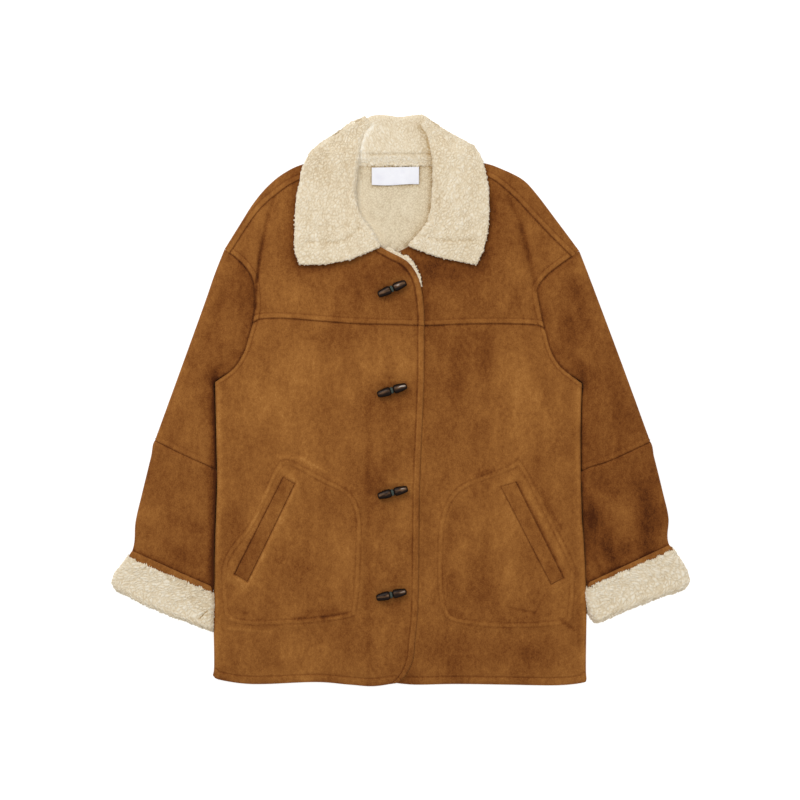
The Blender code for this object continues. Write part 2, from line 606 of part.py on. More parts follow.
def sleeve(side):
    sign = -1 if side == "left" else 1
    beside = np.array((sign * 3 * GAP, 0))
    radius = SLEEVE_LEVEL
    elbow = np.array(ELBOW[side], float) + beside

    # The upper sleeve: rows from the elbow to the underarm, then an open row for each vertex of the armhole
    outline = curve([*reversed(SLEEVE_OUTER[side])])(shares(60))
    edge = np.array(SLEEVE_INNER[side], float) + beside
    inner_ends = [elbow[0]] + [(np.interp(y, edge[::-1, 1], edge[::-1, 0]), y) for y in (-80, -50, -20, 5, 26)]
    rises = [elbow[-1][1] - elbow[0][1], 34, 22, 12, 5, 1]
    opening = armhole(side)[1:-1] + (sign * 2 * GAP, -GAP / 2)
    rows = []
    for number, ((x, y), rise) in enumerate(zip(inner_ends, rises)):
        level_y = y + rise
        outer = np.array((np.interp(level_y, outline[:, 1], outline[:, 0]), level_y))
        inner = np.array((x, y))
        reach = direction(inner, outer) * radius
        bow = seam_bow(elbow, max(0.0, 1 - number * 0.34))
        rows.append((inner + reach, outer - reach, radius, SLEEVE_CROWN, bow))
    closed = len(rows)
    last_rise = armhole(side)[-1][1] - armhole(side)[-2][1] - GAP
    for number, inner in enumerate(opening, start=1):
        level_y = inner[1] + last_rise * (number / len(opening)) ** 2
        outer = np.array((np.interp(level_y, outline[:, 1], outline[:, 0]), level_y))
        width = np.linalg.norm(outer - inner)
        crown = SLEEVE_CROWN * min(1.0, max(0.0, (width - 8) / 62))
        rows.append((inner, outer - direction(inner, outer) * radius, radius, crown, None))
    columns = 2 * (len(EVEN) + 2) + 2 * len(TURN_ANGLES)
    kept = np.ones((len(rows) - 1, columns), bool)
    kept[closed - 1:, -len(TURN_ANGLES) - 1:] = False
    tube(f"sleeve_upper_{side}", rows, kept=kept)

    # The lower sleeve climbs on to the turned-back cuff that lies round its end
    hem = cuff_hem_centres(side)
    level = CUFF_LEVEL
    reach = direction(*hem) * radius
    inner = curve([*(np.array(FOREARM_INNER[side][:-1], float) + beside), hem[0] - reach])
    outer = curve([*FOREARM_OUTER[side], hem[1] + reach])
    rows = []
    for along, raised in ((0.003, 0), (0.3, 0), (0.5, 0.1), (0.75, 0.65), (1.0, 1.0)):
        a, b = inner(along), outer(along)
        reach = direction(a, b) * radius
        crown = SLEEVE_CROWN + (CUFF_CROWN - SLEEVE_CROWN) * ease((along - 0.5) / 0.5)
        bow = seam_bow(elbow, 1 - along) if along < 1 else None
        rows.append((a + reach, b - reach, radius + raised * CUFF_STEP, crown, bow))
    for share in (1.0, 0.65, CUFF_SEAM + 0.01):
        rows.append((*cuff_centres(side, share), CUFF_LEVEL, CUFF_CROWN, cuff_bow(side, share)))
    tube(f"sleeve_lower_{side}", rows, SLEEVE_CREASES[side])


def cuff_centres(side, along):
    """The centres of the cuff's two rounded edges, a share of the way from its fold to its upper edge."""
    a, b = curve(CUFF_INNER[side])(along), curve(CUFF_OUTER[side])(along)
    reach = direction(a, b) * CUFF_LEVEL
    return a + reach, b - reach


def cuff_hem_centres(side):
    a, b = np.array(CUFF_HEM[side], float)
    reach = direction(a, b) * CUFF_LEVEL
    return a + reach, b - reach


def cuff_bow(side, along):
    return lambda t: np.stack([0 * t, -CUFF_BOW[side] * np.sin(math.pi * t) * (1 - along) ** 2], axis=-1)


def cuff(side):
    """The turned-back end of a sleeve: an inner wall down to the fold and an outer one back up, and its suede hem."""
    height = np.linalg.norm(np.subtract(CUFF_INNER[side][-1], CUFF_INNER[side][0]))
    inner_face = CUFF_STEP + WALL
    fold = inner_face / 2 / height
    seam = CUFF_SEAM - 0.01
    # Round the wall's section: share of the height, and depth below the outer face
    profile = [(0.995, 0), (0.65, 0), (seam, 0), (0.26, 0), (fold, 0), (0.3 * fold, 0.3 * fold * height),
               (0, inner_face / 2), (0.3 * fold, inner_face - 0.3 * fold * height), (fold, inner_face),
               (0.26, inner_face), (seam, inner_face), (seam, CUFF_STEP), (0.26, CUFF_STEP), (fold * 1.15, CUFF_STEP),
               (fold * 1.1, (WALL + CUFF_STEP) / 2), (fold * 1.15, WALL), (0.26, WALL), (seam, WALL), (0.65, WALL),
               (0.995, WALL)]
    rings = np.array([ring(*cuff_centres(side, share), CUFF_LEVEL, CUFF_LEVEL - depth, CUFF_CROWN, cuff_bow(side, share))
                      for share, depth in profile])
    faces = grid_faces(*rings.shape[:2], round_columns=True, round_rows=True)
    add_object(f"cuff_{side}", rings.reshape(-1, 3), faces, FLEECE)

    low, high = np.array(cuff_centres(side, 1.0)), np.array(cuff_hem_centres(side))
    radius = SLEEVE_LEVEL + SEAT
    rings = np.array([ring(*(low + (high - low) * share), CUFF_LEVEL, radius + wall, CUFF_CROWN)
                      for share, wall in ((0.06, HEM_WALL), (0.6, HEM_WALL), (1, HEM_WALL * 0.6), (1, 0), (0.06, 0))])
    faces = grid_faces(*rings.shape[:2], round_columns=True, round_rows=True)
    add_object(f"cuff_hem_{side}", rings.reshape(-1, 3), faces, SUEDE)


# Collar


def leaf_height(side, x, y):
    """A leaf lies on its yoke, and comes down past the shoulder line on to the collar's fall."""
    beneath = max(float(LAYER_HEIGHT[side](x + dx, y + dy)) for dx in (-14, 0, 14) for dy in (-8, 8))
    level = max(beneath, FRONT_LEVEL + LOFT) + (WALL + COLLAR_WALL) / 2 + 3 * GAP
    return level + (LEAF_LOW - level) * ease((y - 374) / 26)


def neck_distance(side, point, out):
    """How far a plan point lies from the neck seam in the plan direction out, or None past the seam's ends."""
    line = np.vstack([neckline(side), SHOULDER[side][-1:]])
    for a, b in zip(line, line[1:]):
        along, step = np.linalg.solve(np.column_stack([out, a - b]), a - point)
        if 0 <= step <= 1:
            return along
    return None


def collar_leaf(side):
    """From the neck seam up the stand, round the inner roll and out over the yoke, a row for each section."""
    table = np.array(LEAF[side], float)
    index = np.arange(len(table))
    stations = np.linspace(0, len(table) - 1, LEAF_STATIONS)
    surface, across, slopes = [], [], []
    for station in stations:
        row = [np.interp(station, index, table[:, k]) for k in range(6)]
        roll, edge, bow, turned = np.array(row[0:2]), np.array(row[2:4]), row[4], row[5]
        span = np.linalg.norm(edge - roll)
        out = (edge - roll) / span
        half = COLLAR_WALL / 2

        def place(distance):
            share = np.clip(distance / span, 0, 1)
            return roll + out * distance + (0, bow * math.sin(math.pi * share) ** 0.8)

        to_seam = neck_distance(side, roll, out)
        folds = to_seam is not None and to_seam > half + LEAF_ROLL + 4 and 260 < roll[1] < 350
        crest = leaf_height(side, *place(half + LEAF_ROLL))
        radius = LEAF_ROLL
        if folds:
            crest = max(crest, STAND_LEVEL + 2 * radius)
            radius = (crest - STAND_LEVEL) / 2
        sweep = math.pi if folds else math.pi / 2
        tail = to_seam - half - radius - 2.5 if folds else 0.05
        section = []
        angles = np.linspace(math.pi / 2 - sweep, math.pi / 2, 7)
        for angle in angles:
            at = place(half + radius * (1 - math.cos(angle)))
            section.append((*at, crest - radius + radius * math.sin(angle)))
        first = place(half + radius + tail) if folds else place(half)
        section.insert(0, (*first, section[0][2] - (0 if folds else tail)))
        hem = half * turned
        shoulder = min(LEAF_SHOULDER, (span - hem - half - radius) * 0.55)
        for distance in np.linspace(half + radius, span - hem - shoulder, 8)[1:]:
            x, y = place(distance)
            level = leaf_height(side, x, y)
            near_roll = 1 - ease((distance - half - radius) / 34)
            section.append((x, y, level + max(0.0, crest - level) * near_roll))
        last = section[-1][2]
        for angle in SHOULDER_ANGLES:
            x, y = place(span - hem - shoulder * (1 - math.cos(angle)))
            level = leaf_height(side, x, y)
            level += turned * (last - level)
            section.append((x, y, level - turned * (last - 2 * GAP) * (1 - math.sin(angle))))
        surface.append(section)
        across.append(out)
        rolled = math.pi / 2 - angles
        down = [-math.atan2(turned * (last - 2 * GAP) * math.cos(a), shoulder * math.sin(a)) for a in SHOULDER_ANGLES]
        slopes.append(np.concatenate([rolled[:1], rolled, np.full(7, np.nan), down if turned else [0.0] * 3]))
    cloth(f"collar_leaf_{side}", np.array(surface), COLLAR_WALL, FLEECE, np.array(across), slopes)


def collar_back():
    """The band inside the back of the neck, which folds over at the top and lies behind the neck as the fall."""
    radius = (BAND_LEVEL - FALL_LEVEL) / 2
    middle = (BAND_LEVEL + FALL_LEVEL) / 2
    sides = []
    for side, clear in (("left", 3.4), ("right", -3.0)):
        table = np.array(LEAF[side], float)
        line = np.vstack([table[table[:, 1] > 345, 0:2], table[-1:, 2:4]])
        sides.append(lambda y, line=line, clear=clear: np.interp(y, line[:, 1], line[:, 0]) + clear)
    sections = []
    for t, top in zip(shares(10), np.interp(shares(10), shares(4), BAND_TOP_Y)):
        turn = top - COLLAR_WALL / 2 - radius
        line = [(BAND_SEAM_Y, FALL_LEVEL), (BAND_SEAM_Y + 3, FALL_LEVEL)]
        line += [(BAND_SEAM_Y + (turn - BAND_SEAM_Y) * along, BAND_LEVEL) for along in (0.35, 0.55, 0.75, 0.9, 1.0)]
        line += [(turn + radius * math.cos(a), middle + radius * math.sin(a)) for a in np.radians([45, 0, -45])]
        y, level = np.array(line).T
        x = sides[0](y) + (sides[1](y) - sides[0](y)) * t
        x[y < BAND_SEAM_Y + 0.1] = np.interp(t, (0, 1), (BACK_NECK[0][0] + 0.7, BACK_NECK[-1][0] - 0.7))
        under = np.linspace(turn, FALL_Y, 4)
        edge = x[-1] + (np.interp(t, (0, 1), FALL_X) - x[-1]) * (turn - under) / (turn - FALL_Y)
        line = np.column_stack([np.append(x, edge), np.append(y, under), np.append(level, np.full(4, FALL_LEVEL))])
        sections.append(line)
    cloth("collar_band", np.array(sections), COLLAR_WALL, FLEECE, np.tile((0.0, 1.0), (len(sections), 1)))


# Small pieces


def patch_on(name, outline_rows, top, wall, finish, seat=GAP):
    """A thin piece that lies on another one's top."""
    plan = np.array(outline_rows, float)
    low = top(plan[..., 0], plan[..., 1]) + seat
    return walled(name, with_height(plan, low + wall), with_height(plan, low), finish)


def pocket(side, front):
    """The bag between the back and the front, and the welt on the front."""
    outline = np.array(POCKET[side], float)
    rows = []
    for y in np.linspace(outline[:, 1].min() + 8, outline[:, 1].max() - 14, 9):
        cut = []
        for (x0, y0), (x1, y1) in zip(outline, np.roll(outline, -1, axis=0)):
            if (y0 > y) != (y1 > y):
                cut.append(x0 + (x1 - x0) * (y - y0) / (y1 - y0))
        rows.append([(x, y) for x in np.linspace(min(cut) + 4, max(cut) - 4, 8)])
    patch_on(f"pocket_bag_{side}", rows, lambda x, y: WALL + 0 * x, BAG_WALL, SUEDE)

    upper_outer, upper_inner, lower_inner, lower_outer = np.array(WELT[side], float)
    rows = []
    for along in shares(12):
        outer = lower_outer + (upper_outer - lower_outer) * along
        inner = lower_inner + (upper_inner - lower_inner) * along
        rows.append([outer + (inner - outer) * share for share in shares(3)])
    near = [(dx, dy) for dx in (-5, 0, 5) for dy in (-5, 0, 5)]
    patch_on(f"pocket_welt_{side}", rows, lambda x, y: np.max([front(x + dx, y + dy) for dx, dy in near], axis=0),
             WELT_WALL, SUEDE, seat=2 * SEAT)


def toggle(number, x, y, tilt):
    """A turned wooden toggle lying on the left front, and the thread wound round its waist."""
    seat = FRONT_LEVEL + LAP_RISE + WALL / 2 + GAP
    largest = max(radius for _, radius in TOGGLE_PROFILE)
    place = (x, y, seat + largest * TOGGLE_FLATNESS)
    angles = np.linspace(0, 2 * math.pi, TOGGLE_SIDES, endpoint=False)
    points = [(along, radius * math.cos(a), radius * math.sin(a) * TOGGLE_FLATNESS)
              for along, radius in TOGGLE_PROFILE for a in angles]
    rings, sides = len(TOGGLE_PROFILE), TOGGLE_SIDES
    faces = grid_faces(rings, sides, round_columns=True)
    faces.append(tuple(range(sides))[::-1])
    faces.append(tuple(range((rings - 1) * sides, rings * sides)))
    add_object(f"toggle_{number}", points, faces, WOOD, place, tilt, smooth=True)

    waist = min(radius for _, radius in TOGGLE_PROFILE[3:-3]) + GAP
    half_width = 2.2
    points = []
    for a in angles:
        outer = waist + 1.3 + max(0.0, -math.sin(a)) ** 4 * (largest - waist - 1.3)
        for along, radius in ((-half_width, waist), (half_width, waist), (half_width, outer), (-half_width, outer)):
            points.append((along, radius * math.cos(a), radius * math.sin(a) * TOGGLE_FLATNESS))
    faces = grid_faces(sides, 4, round_columns=True, round_rows=True)
    add_object(f"toggle_thread_{number}", points, faces, THREAD, place, tilt, smooth=True)


def label():
    x0, x1, y0, y1 = LABEL
    rows = [[(x, y) for x in np.linspace(x0, x1, 5)] for y in np.linspace(y0, y1, 4)]
    patch_on("label", rows, lambda x, y: WALL + 0 * x, LABEL_WALL, SATIN)


def front_pile():
    """The fleece that shows past the left front's upper edge."""
    line = curve(YOKE_EDGE)(np.linspace(0.42, 0.95, 11))
    along = np.gradient(line, axis=0)
    out = np.stack([along[:, 1], -along[:, 0]], axis=-1) / np.linalg.norm(along, axis=1)[:, None]
    rows = np.array([line + out * reach for reach in (2 * GAP, PILE_REACH / 2, PILE_REACH)])
    level = front_height(rows[..., 0], rows[..., 1]) + WALL / 2 + 3 * GAP
    walled("front_pile", with_height(rows, level + 3.4), with_height(rows, level), FLEECE)


def main():
    for old in list(bpy.data.objects):
        bpy.data.objects.remove(old, do_unlink=True)
    coat = bpy.data.objects.new("coat", None)
    bpy.context.collection.objects.link(coat)

    fronts = {}
    for side in ("left", "right"):
        yoke_panel(side, front_panel(side))
        sleeve(side)
        cuff(side)
        collar_leaf(side)
        fronts[side] = finder(bpy.data.objects[f"front_{side}"])
    back_panel()
    collar_back()
    for side in ("left", "right"):
        pocket(side, fronts[side])
    for number, (x, y, tilt) in enumerate(TOGGLES, start=1):
        toggle(number, x, y, tilt)
    label()
    front_pile()


main()
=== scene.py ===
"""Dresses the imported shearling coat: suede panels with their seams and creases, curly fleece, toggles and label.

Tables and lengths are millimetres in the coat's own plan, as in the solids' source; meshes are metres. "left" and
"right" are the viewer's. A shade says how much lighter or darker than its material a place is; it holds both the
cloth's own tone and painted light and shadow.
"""

import math

import bpy
import numpy as np
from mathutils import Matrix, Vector


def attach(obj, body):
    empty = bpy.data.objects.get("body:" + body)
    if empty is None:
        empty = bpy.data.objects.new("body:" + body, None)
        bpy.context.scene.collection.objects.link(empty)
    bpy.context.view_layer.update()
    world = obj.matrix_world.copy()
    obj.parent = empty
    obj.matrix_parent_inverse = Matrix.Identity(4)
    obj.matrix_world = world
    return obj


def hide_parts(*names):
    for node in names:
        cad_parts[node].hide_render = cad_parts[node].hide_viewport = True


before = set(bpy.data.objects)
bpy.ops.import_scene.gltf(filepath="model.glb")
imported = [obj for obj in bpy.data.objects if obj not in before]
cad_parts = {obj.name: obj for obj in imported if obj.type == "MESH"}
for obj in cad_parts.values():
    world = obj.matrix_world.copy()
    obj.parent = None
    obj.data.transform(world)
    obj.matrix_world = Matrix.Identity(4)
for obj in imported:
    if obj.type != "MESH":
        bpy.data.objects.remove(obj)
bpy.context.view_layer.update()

MM = 0.001
ORIGIN = (1.2, 0.0)  # the plan's x and y where the frame has its origin
PIXEL = 1.52  # one pixel of the camera's view

# Walls and levels, as the solids have them
WALL = 5.0
COLLAR_WALL = 7.0
GAP = 0.3
SEAT = 0.5
ROLL = (WALL + GAP) / 2
FRONT_LEVEL = 1.5 * WALL + GAP
LAP_RISE = WALL + 1.3
LOFT = 1.8
BAG_BUMP = 1.6
FALL_LEVEL = COLLAR_WALL / 2
BAND_LEVEL = FALL_LEVEL + COLLAR_WALL + GAP
LEAF_LOW = FALL_LEVEL + COLLAR_WALL + 0.7
STAND_LEVEL = WALL + 2 * GAP + COLLAR_WALL / 2
LEAF_ROLL = 3.7
SLEEVE_CROWN = 3.6
CUFF_CROWN = 2.4
CUFF_STEP = WALL + SEAT
SLEEVE_LEVEL = WALL + GAP / 2
CUFF_LEVEL = CUFF_STEP + WALL + GAP / 2
CENTRE_FRONT = -9.0
LAP_RAMP = 54.0
LAP_MARGIN = 4.0

# Sizes that only the dressed pieces have
HEM_STITCH = 12.0  # above the hem
EDGE_STITCH = 10.0  # in from the front edge
ARM_STITCH = 6.4  # in from the armhole
POCKET_STITCH = 7.6  # in from the bag's outline, where a first line runs
UNDERLAP_X = -48.0  # where the right front's hidden edge shows through
RIDGE = 8.6  # breadth of the raised strip along a seam
EDGE_RADIUS = 2.6  # of a panel's free edge
PANEL_STEP = 1.75  # mesh step on the fronts
YOKE_STEP = 1.5
FINE_STEP = 0.8  # along a panel's edges
FLEECE_STEP = 1.05
TOE = 4.0  # how far a sleeve's inner edge reaches out along the floor
CURL = (4.1, 5.8)  # breadth and length of a curl

# Plan outlines as (x, y), each from the hem up or from the armhole inwards
SIDE = {
    "left": [(-285, -418), (-283, -400), (-284, -313), (-282, -221), (-279, -130), (-280, -60), (-282, 28)],
    "right": [(284, -424), (283, -400), (284, -290), (280, -211), (277, -174), (275, -60), (277, 26)],
}
ARMHOLE_LOW = {
    "left": [(-282, 28), (-255, 48), (-238, 73), (-230, 98), (-224, 118)],
    "right": [(277, 26), (245, 52), (230, 76), (222, 104), (220, 109)],
}
ARMHOLE_HIGH = {
    "left": [(-224, 118), (-221, 146), (-223, 180), (-233, 200), (-248, 216), (-259, 224)],
    "right": [(220, 109), (215, 134), (210, 160), (211, 174), (222, 189), (240, 204), (261, 219)],
}
SHOULDER = {
    "left": [(-267, 231), (-244, 268), (-223, 301), (-201, 327), (-176, 347), (-145, 361), (-88, 372)],
    "right": [(273, 228), (235, 279), (206, 317), (185, 338), (150, 355), (127, 362), (74, 371)],
}
FORWARD_SEAM = {
    "left": [(-259, 224), (-218, 285), (-186, 315), (-151, 336), (-90, 350)],
    "right": [(261, 219), (224, 256), (192, 290), (171, 312), (135, 339), (78, 351)],
}
YOKE_SEAM = {
    "left": [(-224, 118), (-212, 124), (-176, 125), (-133, 122), (-69, 117), (-27, 116), (37, 114)],
    "right": [(220, 109), (207, 115), (150, 117), (86, 116), (39, 114), (-55, 114)],
}
HEM = {
    "left": [(-285, -418), (-276, -424), (-241, -430), (-203, -431), (-127, -428), (-77, -432), (-42, -434),
             (-6, -429)],
    "right": [(284, -424), (278, -429), (238, -433), (162, -432), (86, -431), (24, -432), (-12, -429)],
}
BACK_HEM = [(-285, -417), (-268, -424), (-200, -427), (-6, -426), (160, -429), (262, -428), (284, -423)]
FRONT_EDGE = [(-6, -429), (4, -422), (11, -413), (17, -401), (21, -388), (23, -365), (28, -304), (30, -136), (36, 16),
              (37, 114)]
YOKE_EDGE = [(37, 114), (37, 133), (34, 162), (30, 181), (24, 195), (15, 208), (3, 217), (-13, 225), (-28, 233)]
NECKLINE = {
    "left": [(-28, 233), (-46, 243), (-64, 262), (-78, 285), (-84, 310), (-87, 330), (-90, 350)],
    "right": [(10, 233), (30, 242), (51, 256), (64, 280), (69, 308), (72, 332), (78, 351)],
}
BACK_NECK = [(-62, 358), (-26, 358), (12, 358), (48, 358)]
SLEEVE_OUTER = {
    "left": [(-267, 231), (-282, 193), (-303, 133), (-373, -60)],
    "right": [(273, 228), (290, 184), (335, 64), (381, -62)],
}
ELBOW = {
    "left": [(-281, -104), (-292, -98), (-328, -82), (-373, -60)],
    "right": [(276, -106), (287, -101), (320, -90), (381, -62)],
}
FOREARM_OUTER = {
    "left": [(-373, -60), (-390, -130), (-402, -182)],
    "right": [(381, -62), (398, -130), (409, -182)],
}
CUFF_INNER = {"left": [(-285, -350), (-284, -322), (-284, -294)], "right": [(299, -338), (286, -317), (284, -286)]}
CUFF_OUTER = {"left": [(-440, -284), (-434, -262), (-415, -238)], "right": [(443, -281), (434, -252), (417, -226)]}
CUFF_HEM = {"left": ((-284, -283), (-409, -227)), "right": ((284, -277), (411, -218))}
CUFF_BOW = {"left": 3, "right": -3}
CUFF_MARK = (-304.8, -330.9, -291.6, -317.7)  # a pressed fold in the left cuff

# Collar leaves: the inner roll's x and y, the outer edge's x and y, bow of the section, how far its edge turns down
LEAF = {
    "left": [
        (-28, 236, -154, 208, -11, 0.0),
        (-36, 250, -160, 226, -7, 0.0),
        (-46, 266, -160, 243, -4, 0.0),
        (-60, 287, -160, 266, -2, 0.0),
        (-66, 312, -159, 296, 0, 0.0),
        (-66, 336, -153, 330, 0, 0.0),
        (-63, 358, -148, 355, 0, 0.0),
        (-60, 376, -139, 375, 0, 0.3),
        (-56, 391, -122, 392, 0, 1.0),
        (-52, 403, -97, 409, 0, 1.0),
        (-48, 411, -76, 423, 0, 1.0),
        (-41, 417, -56, 433, 0, 0.6),
    ],
    "right": [
        (11, 237, 116, 207, -5, 0.0),
        (22, 247, 128, 228, -4, 0.0),
        (31, 257, 132, 246, -2, 0.0),
        (42, 271, 136, 268, 0, 0.0),
        (47, 295, 136, 292, 0, 0.0),
        (49, 325, 135, 322, 0, 0.0),
        (49, 352, 130, 346, 0, 0.0),
        (48, 368, 124, 367, 0, 0.0),
        (45, 382, 115, 386, 0, 0.8),
        (41, 396, 89, 401, 0, 1.0),
        (37, 408, 64, 416, 0, 1.0),
        (30, 415, 44, 430, 0, 0.6),
    ],
}
BAND_SEAM_Y = 358.7
BAND_TOP_Y = [429, 434, 435, 434, 431.5, 432.5, 434, 435.5, 430]
FALL_Y = 382.0
FALL_X = (-108, 94)

# Outlines of the pocket bags and, from the upper outer corner on, of the welts
POCKET = {
    "left": [(-182, -91), (-165, -91), (-115, -117), (-84, -133), (-66, -153), (-59, -182), (-60, -237), (-65, -310),
             (-80, -330), (-177, -340), (-240, -340), (-263, -330), (-269, -310), (-268, -243), (-227, -182),
             (-195, -112)],
    "right": [(180, -87), (204, -126), (264, -246), (266, -262), (263, -313), (252, -338), (162, -345), (86, -337),
              (66, -322), (58, -287), (57, -237), (60, -187), (70, -154), (86, -133), (107, -121), (166, -98)],
}
WELT = {
    "left": [(-177, -116), (-160, -126), (-232, -275), (-251, -263)],
    "right": [(176, -124), (153, -130), (230, -279), (248, -269)],
}
# Broad creases as (x, y, x, y, depth, half width)
CREASES = [
    (-198, 292, -212, 214, 1.6, 9),
    (-212, 214, -219, 160, 1.4, 9),
    (166, 308, 188, 262, 1.2, 9),
    (188, 262, 205, 180, 1.6, 10),
]
# Toggles as (x, y, degrees of tilt)
TOGGLES = [(-12, 170, 24.0), (-12, 16, 17.0), (-11, -139, 14.5), (-13, -294, 12.5)]
TOGGLE_FLATNESS = 0.86
TOGGLE_RADIUS = 6.8
TOGGLE_GLEAM = (1.0, 1.2, 0.8, 0.45)  # strength of the light streak on each
LABEL = (-43, 29, 328, 355)  # its x and its y
LABEL_OUTLINE = [(-43, 326), (29, 327), (29, 355), (-43, 354)]
PILE_REACH = 6.6

# Sharper creases of the yokes, in the same way
FINE_CREASES = {
    "yoke_left": [(-191, 308, -200, 283, 0.8, 2.6), (-200, 283, -207, 250, 1.3, 2.8), (-207, 250, -214, 215, 2.2, 2.8),
                  (-214, 215, -218, 180, 2.8, 2.4), (-218, 180, -220, 141, 2.2, 2.4)],
    "yoke_right": [(165, 309, 184, 268, 1.2, 4.0), (184, 268, 201, 200, 2.0, 4.6), (201, 200, 208, 168, 1.8, 4.4)],
}
# Small folds and pressed marks on the fronts as (x, y, x, y, depth, half width, how much darker); the darkening is
# painted shade in a fold, and a negative one painted light on a ridge
MARKS = {
    "left": [
        (-160, -332, -118, -329, 0.5, 3.0, 0.3), (-118, -329, -82, -323, 0.7, 3.0, 0.42),
        (-96, -318, -140, -322, 0.3, 5, 0.2), (-258, -346, -196, -352, -0.7, 3.0, -0.28),
        (-186, -84, -150, -88, -0.6, 2.6, -0.26), (-150, -88, -112, -108, -0.7, 2.2, -0.34),
        (-232, -322, -262, -316, 0.3, 4, 0.2), (-205, -150, -236, -200, 0.4, 1.6, 0.22),
        (-222, -400, -150, -398, 0.4, 9, 0.1),
    ],
    "right": [
        (165, -314, 205, -322, 0.6, 1.6, 0.3), (205, -322, 220, -294, 0.5, 1.6, 0.24),
        (132, -190, 126, -300, 0.8, 8, 0.2), (158, -170, 168, -300, -0.6, 10, -0.12),
        (246, -334, 262, -346, 0.8, 4, 0.4), (92, -326, 76, -318, 0.6, 4, 0.34), (82, -170, 70, -250, 0.4, 7, 0.2),
        (216, -140, 246, -196, 0.5, 2.2, 0.3), (140, -106, 120, -112, 0.3, 6, 0.25),
    ],
}
# Lighter and darker patches of the nap as (x, y, reach across, reach along, how much lighter); the dark ones below the
# collar and beside the right sleeve's inner edge are painted shadow
PATCHES = [
    (-170, 60, 60, 90, 0.22), (-60, 180, 34, 30, -0.34), (60, 195, 50, 26, -0.3), (178, 20, 42, 60, 0.3),
    (84, 40, 26, 70, -0.32), (60, -90, 20, 90, -0.16), (-110, -220, 46, 60, 0.24), (-190, -380, 40, 22, -0.16),
    (-62, -372, 42, 26, -0.22), (92, -380, 60, 26, -0.24), (205, -385, 44, 22, -0.2), (-225, -60, 40, 60, 0.12),
    (-200, 250, 24, 34, 0.12), (-150, 160, 60, 20, 0.1), (130, 150, 46, 24, 0.02), (-246, 160, 26, 36, -0.34),
    (-250, 80, 24, 30, -0.16), (-310, 0, 28, 60, 0.12), (-330, -240, 44, 20, -0.18), (335, -150, 60, 120, -0.3),
    (110, 200, 60, 50, -0.18), (-120, -380, 90, 30, 0.22), (-345, -150, 30, 40, -0.02), (252, 150, 26, 40, -0.16),
    (300, 30, 20, 60, -0.12), (291, -184, 12, 32, -0.45), (326, -140, 24, 40, 0.28), (382, -190, 20, 30, -0.22),
    (330, -236, 34, 22, -0.26), (240, -120, 18, 60, 0.12), (150, -250, 40, 50, 0.08), (235, -330, 20, 40, 0.14),
    (-30, -60, 16, 90, -0.12), (130, 70, 15, 80, -0.42), (258, 106, 20, 36, -0.4), (-140, 104, 46, 34, -0.22),
    (-120, -70, 90, 70, 0.12), (56, -180, 16, 70, 0.24), (185, -374, 56, 34, -0.16), (-113, 205, 26, 10, -0.36),
    (0, 204, 34, 12, -0.4), (276, 206, 12, 20, 0.4), (-305, -10, 12, 46, -0.2), (-70, 20, 40, 60, 0.12),
    (200, 20, 26, 60, 0.12), (-30, 120, 40, 40, -0.18),
]
# Folds of the sleeves, as the creases
SLEEVE_FOLDS = {
    "upper_left": [(-262, 180, -292, 96, 1.2, 9), (-250, 70, -300, 30, 0.9, 8), (-318, 60, -330, -10, 0.8, 10)],
    "upper_right": [(262, 182, 286, 112, 1.2, 9), (240, 78, 296, 40, 0.9, 8), (322, 52, 330, -20, 0.8, 10)],
    "lower_left": [(-300, -196, -352, -180, 0.8, 9), (-330, -236, -378, -196, 0.7, 8)],
    "lower_right": [(296, -170, 326, -252, 1.5, 12), (293, -192, 331, -238, 1.2, 5), (297, -240, 307, -264, 1.6, 3.5),
                    (317, -222, 333, -256, 1.8, 4.5), (318, -236, 350, -222, 0.9, 9),
                    (368, -130, 376, -240, 1.5, 14), (296, -130, 330, -140, 0.8, 9)],
}
LEAF_SEAM = {
    "left": [(-139, 240.6), (-92, 240.6), (-61.6, 260.4)],
    "right": [(34, 251), (58.5, 243.7), (116, 243.7)],
}
# A toggle's turned outline as (place along it, radius)
TURNED = [(-23.5, 0.0), (-23.5, 1.6), (-23.2, 3.0), (-22.2, 4.4), (-20.5, 5.1), (-16, 5.9), (-11, 6.6), (-7, 6.8),
          (-4.2, 6.5), (-3.0, 5.7), (-2.5, 4.4), (0, 4.1), (2.5, 4.4), (3.0, 5.7), (4.2, 6.5), (7, 6.8), (11, 6.6),
          (16, 5.9), (20.5, 5.1), (22.2, 4.4), (23.2, 3.0), (23.5, 1.6), (23.5, 0.0)]


# Numbers


def ease(t):
    """A smooth step from 0 to 1."""
    t = np.clip(t, 0.0, 1.0)
    return t * t * (3 - 2 * t)


def bell(d, width):
    """1 at nought, and less with the distance on both sides."""
    return np.exp(-((d / width) ** 2))


def plateau(d, rise, end, fall):
    """A smooth rise to 1 over the length rise, and from end on a smooth fall over the length fall."""
    return ease(d / rise) * (1 - ease((d - end) / fall))


def run_along(points):
    """The length from a line's first point to each of its points."""
    return np.concatenate([[0], np.cumsum(np.linalg.norm(np.diff(points, axis=0), axis=1))])


def path(points):
    """A line through the points, read by its share of the whole length, from 0 to 1."""
    points = np.array(points, float)
    run = run_along(points)
    return lambda t: np.stack([np.interp(t, run / run[-1], points[:, k]) for k in range(points.shape[1])], axis=-1)


def curve(points):
    """The smooth Catmull-Rom line through the points, read the same way."""
    points = np.array(points, float)
    ends = np.vstack([2 * points[0] - points[1], points, 2 * points[-1] - points[-2]])
    t = np.linspace(0, 1, 10, endpoint=False)[:, None]
    dense = [0.5 * (2 * b + (c - a) * t + (2 * a - 5 * b + 4 * c - d) * t**2 + (3 * b - a - 3 * c + d) * t**3)
             for a, b, c, d in zip(ends, ends[1:], ends[2:], ends[3:])]
    return path(np.vstack(dense + [points[-1:]]))


def x_at(y, line):
    """The x at each y of a line that only rises."""
    line = np.array(line, float)
    return np.interp(y, line[:, 1], line[:, 0])


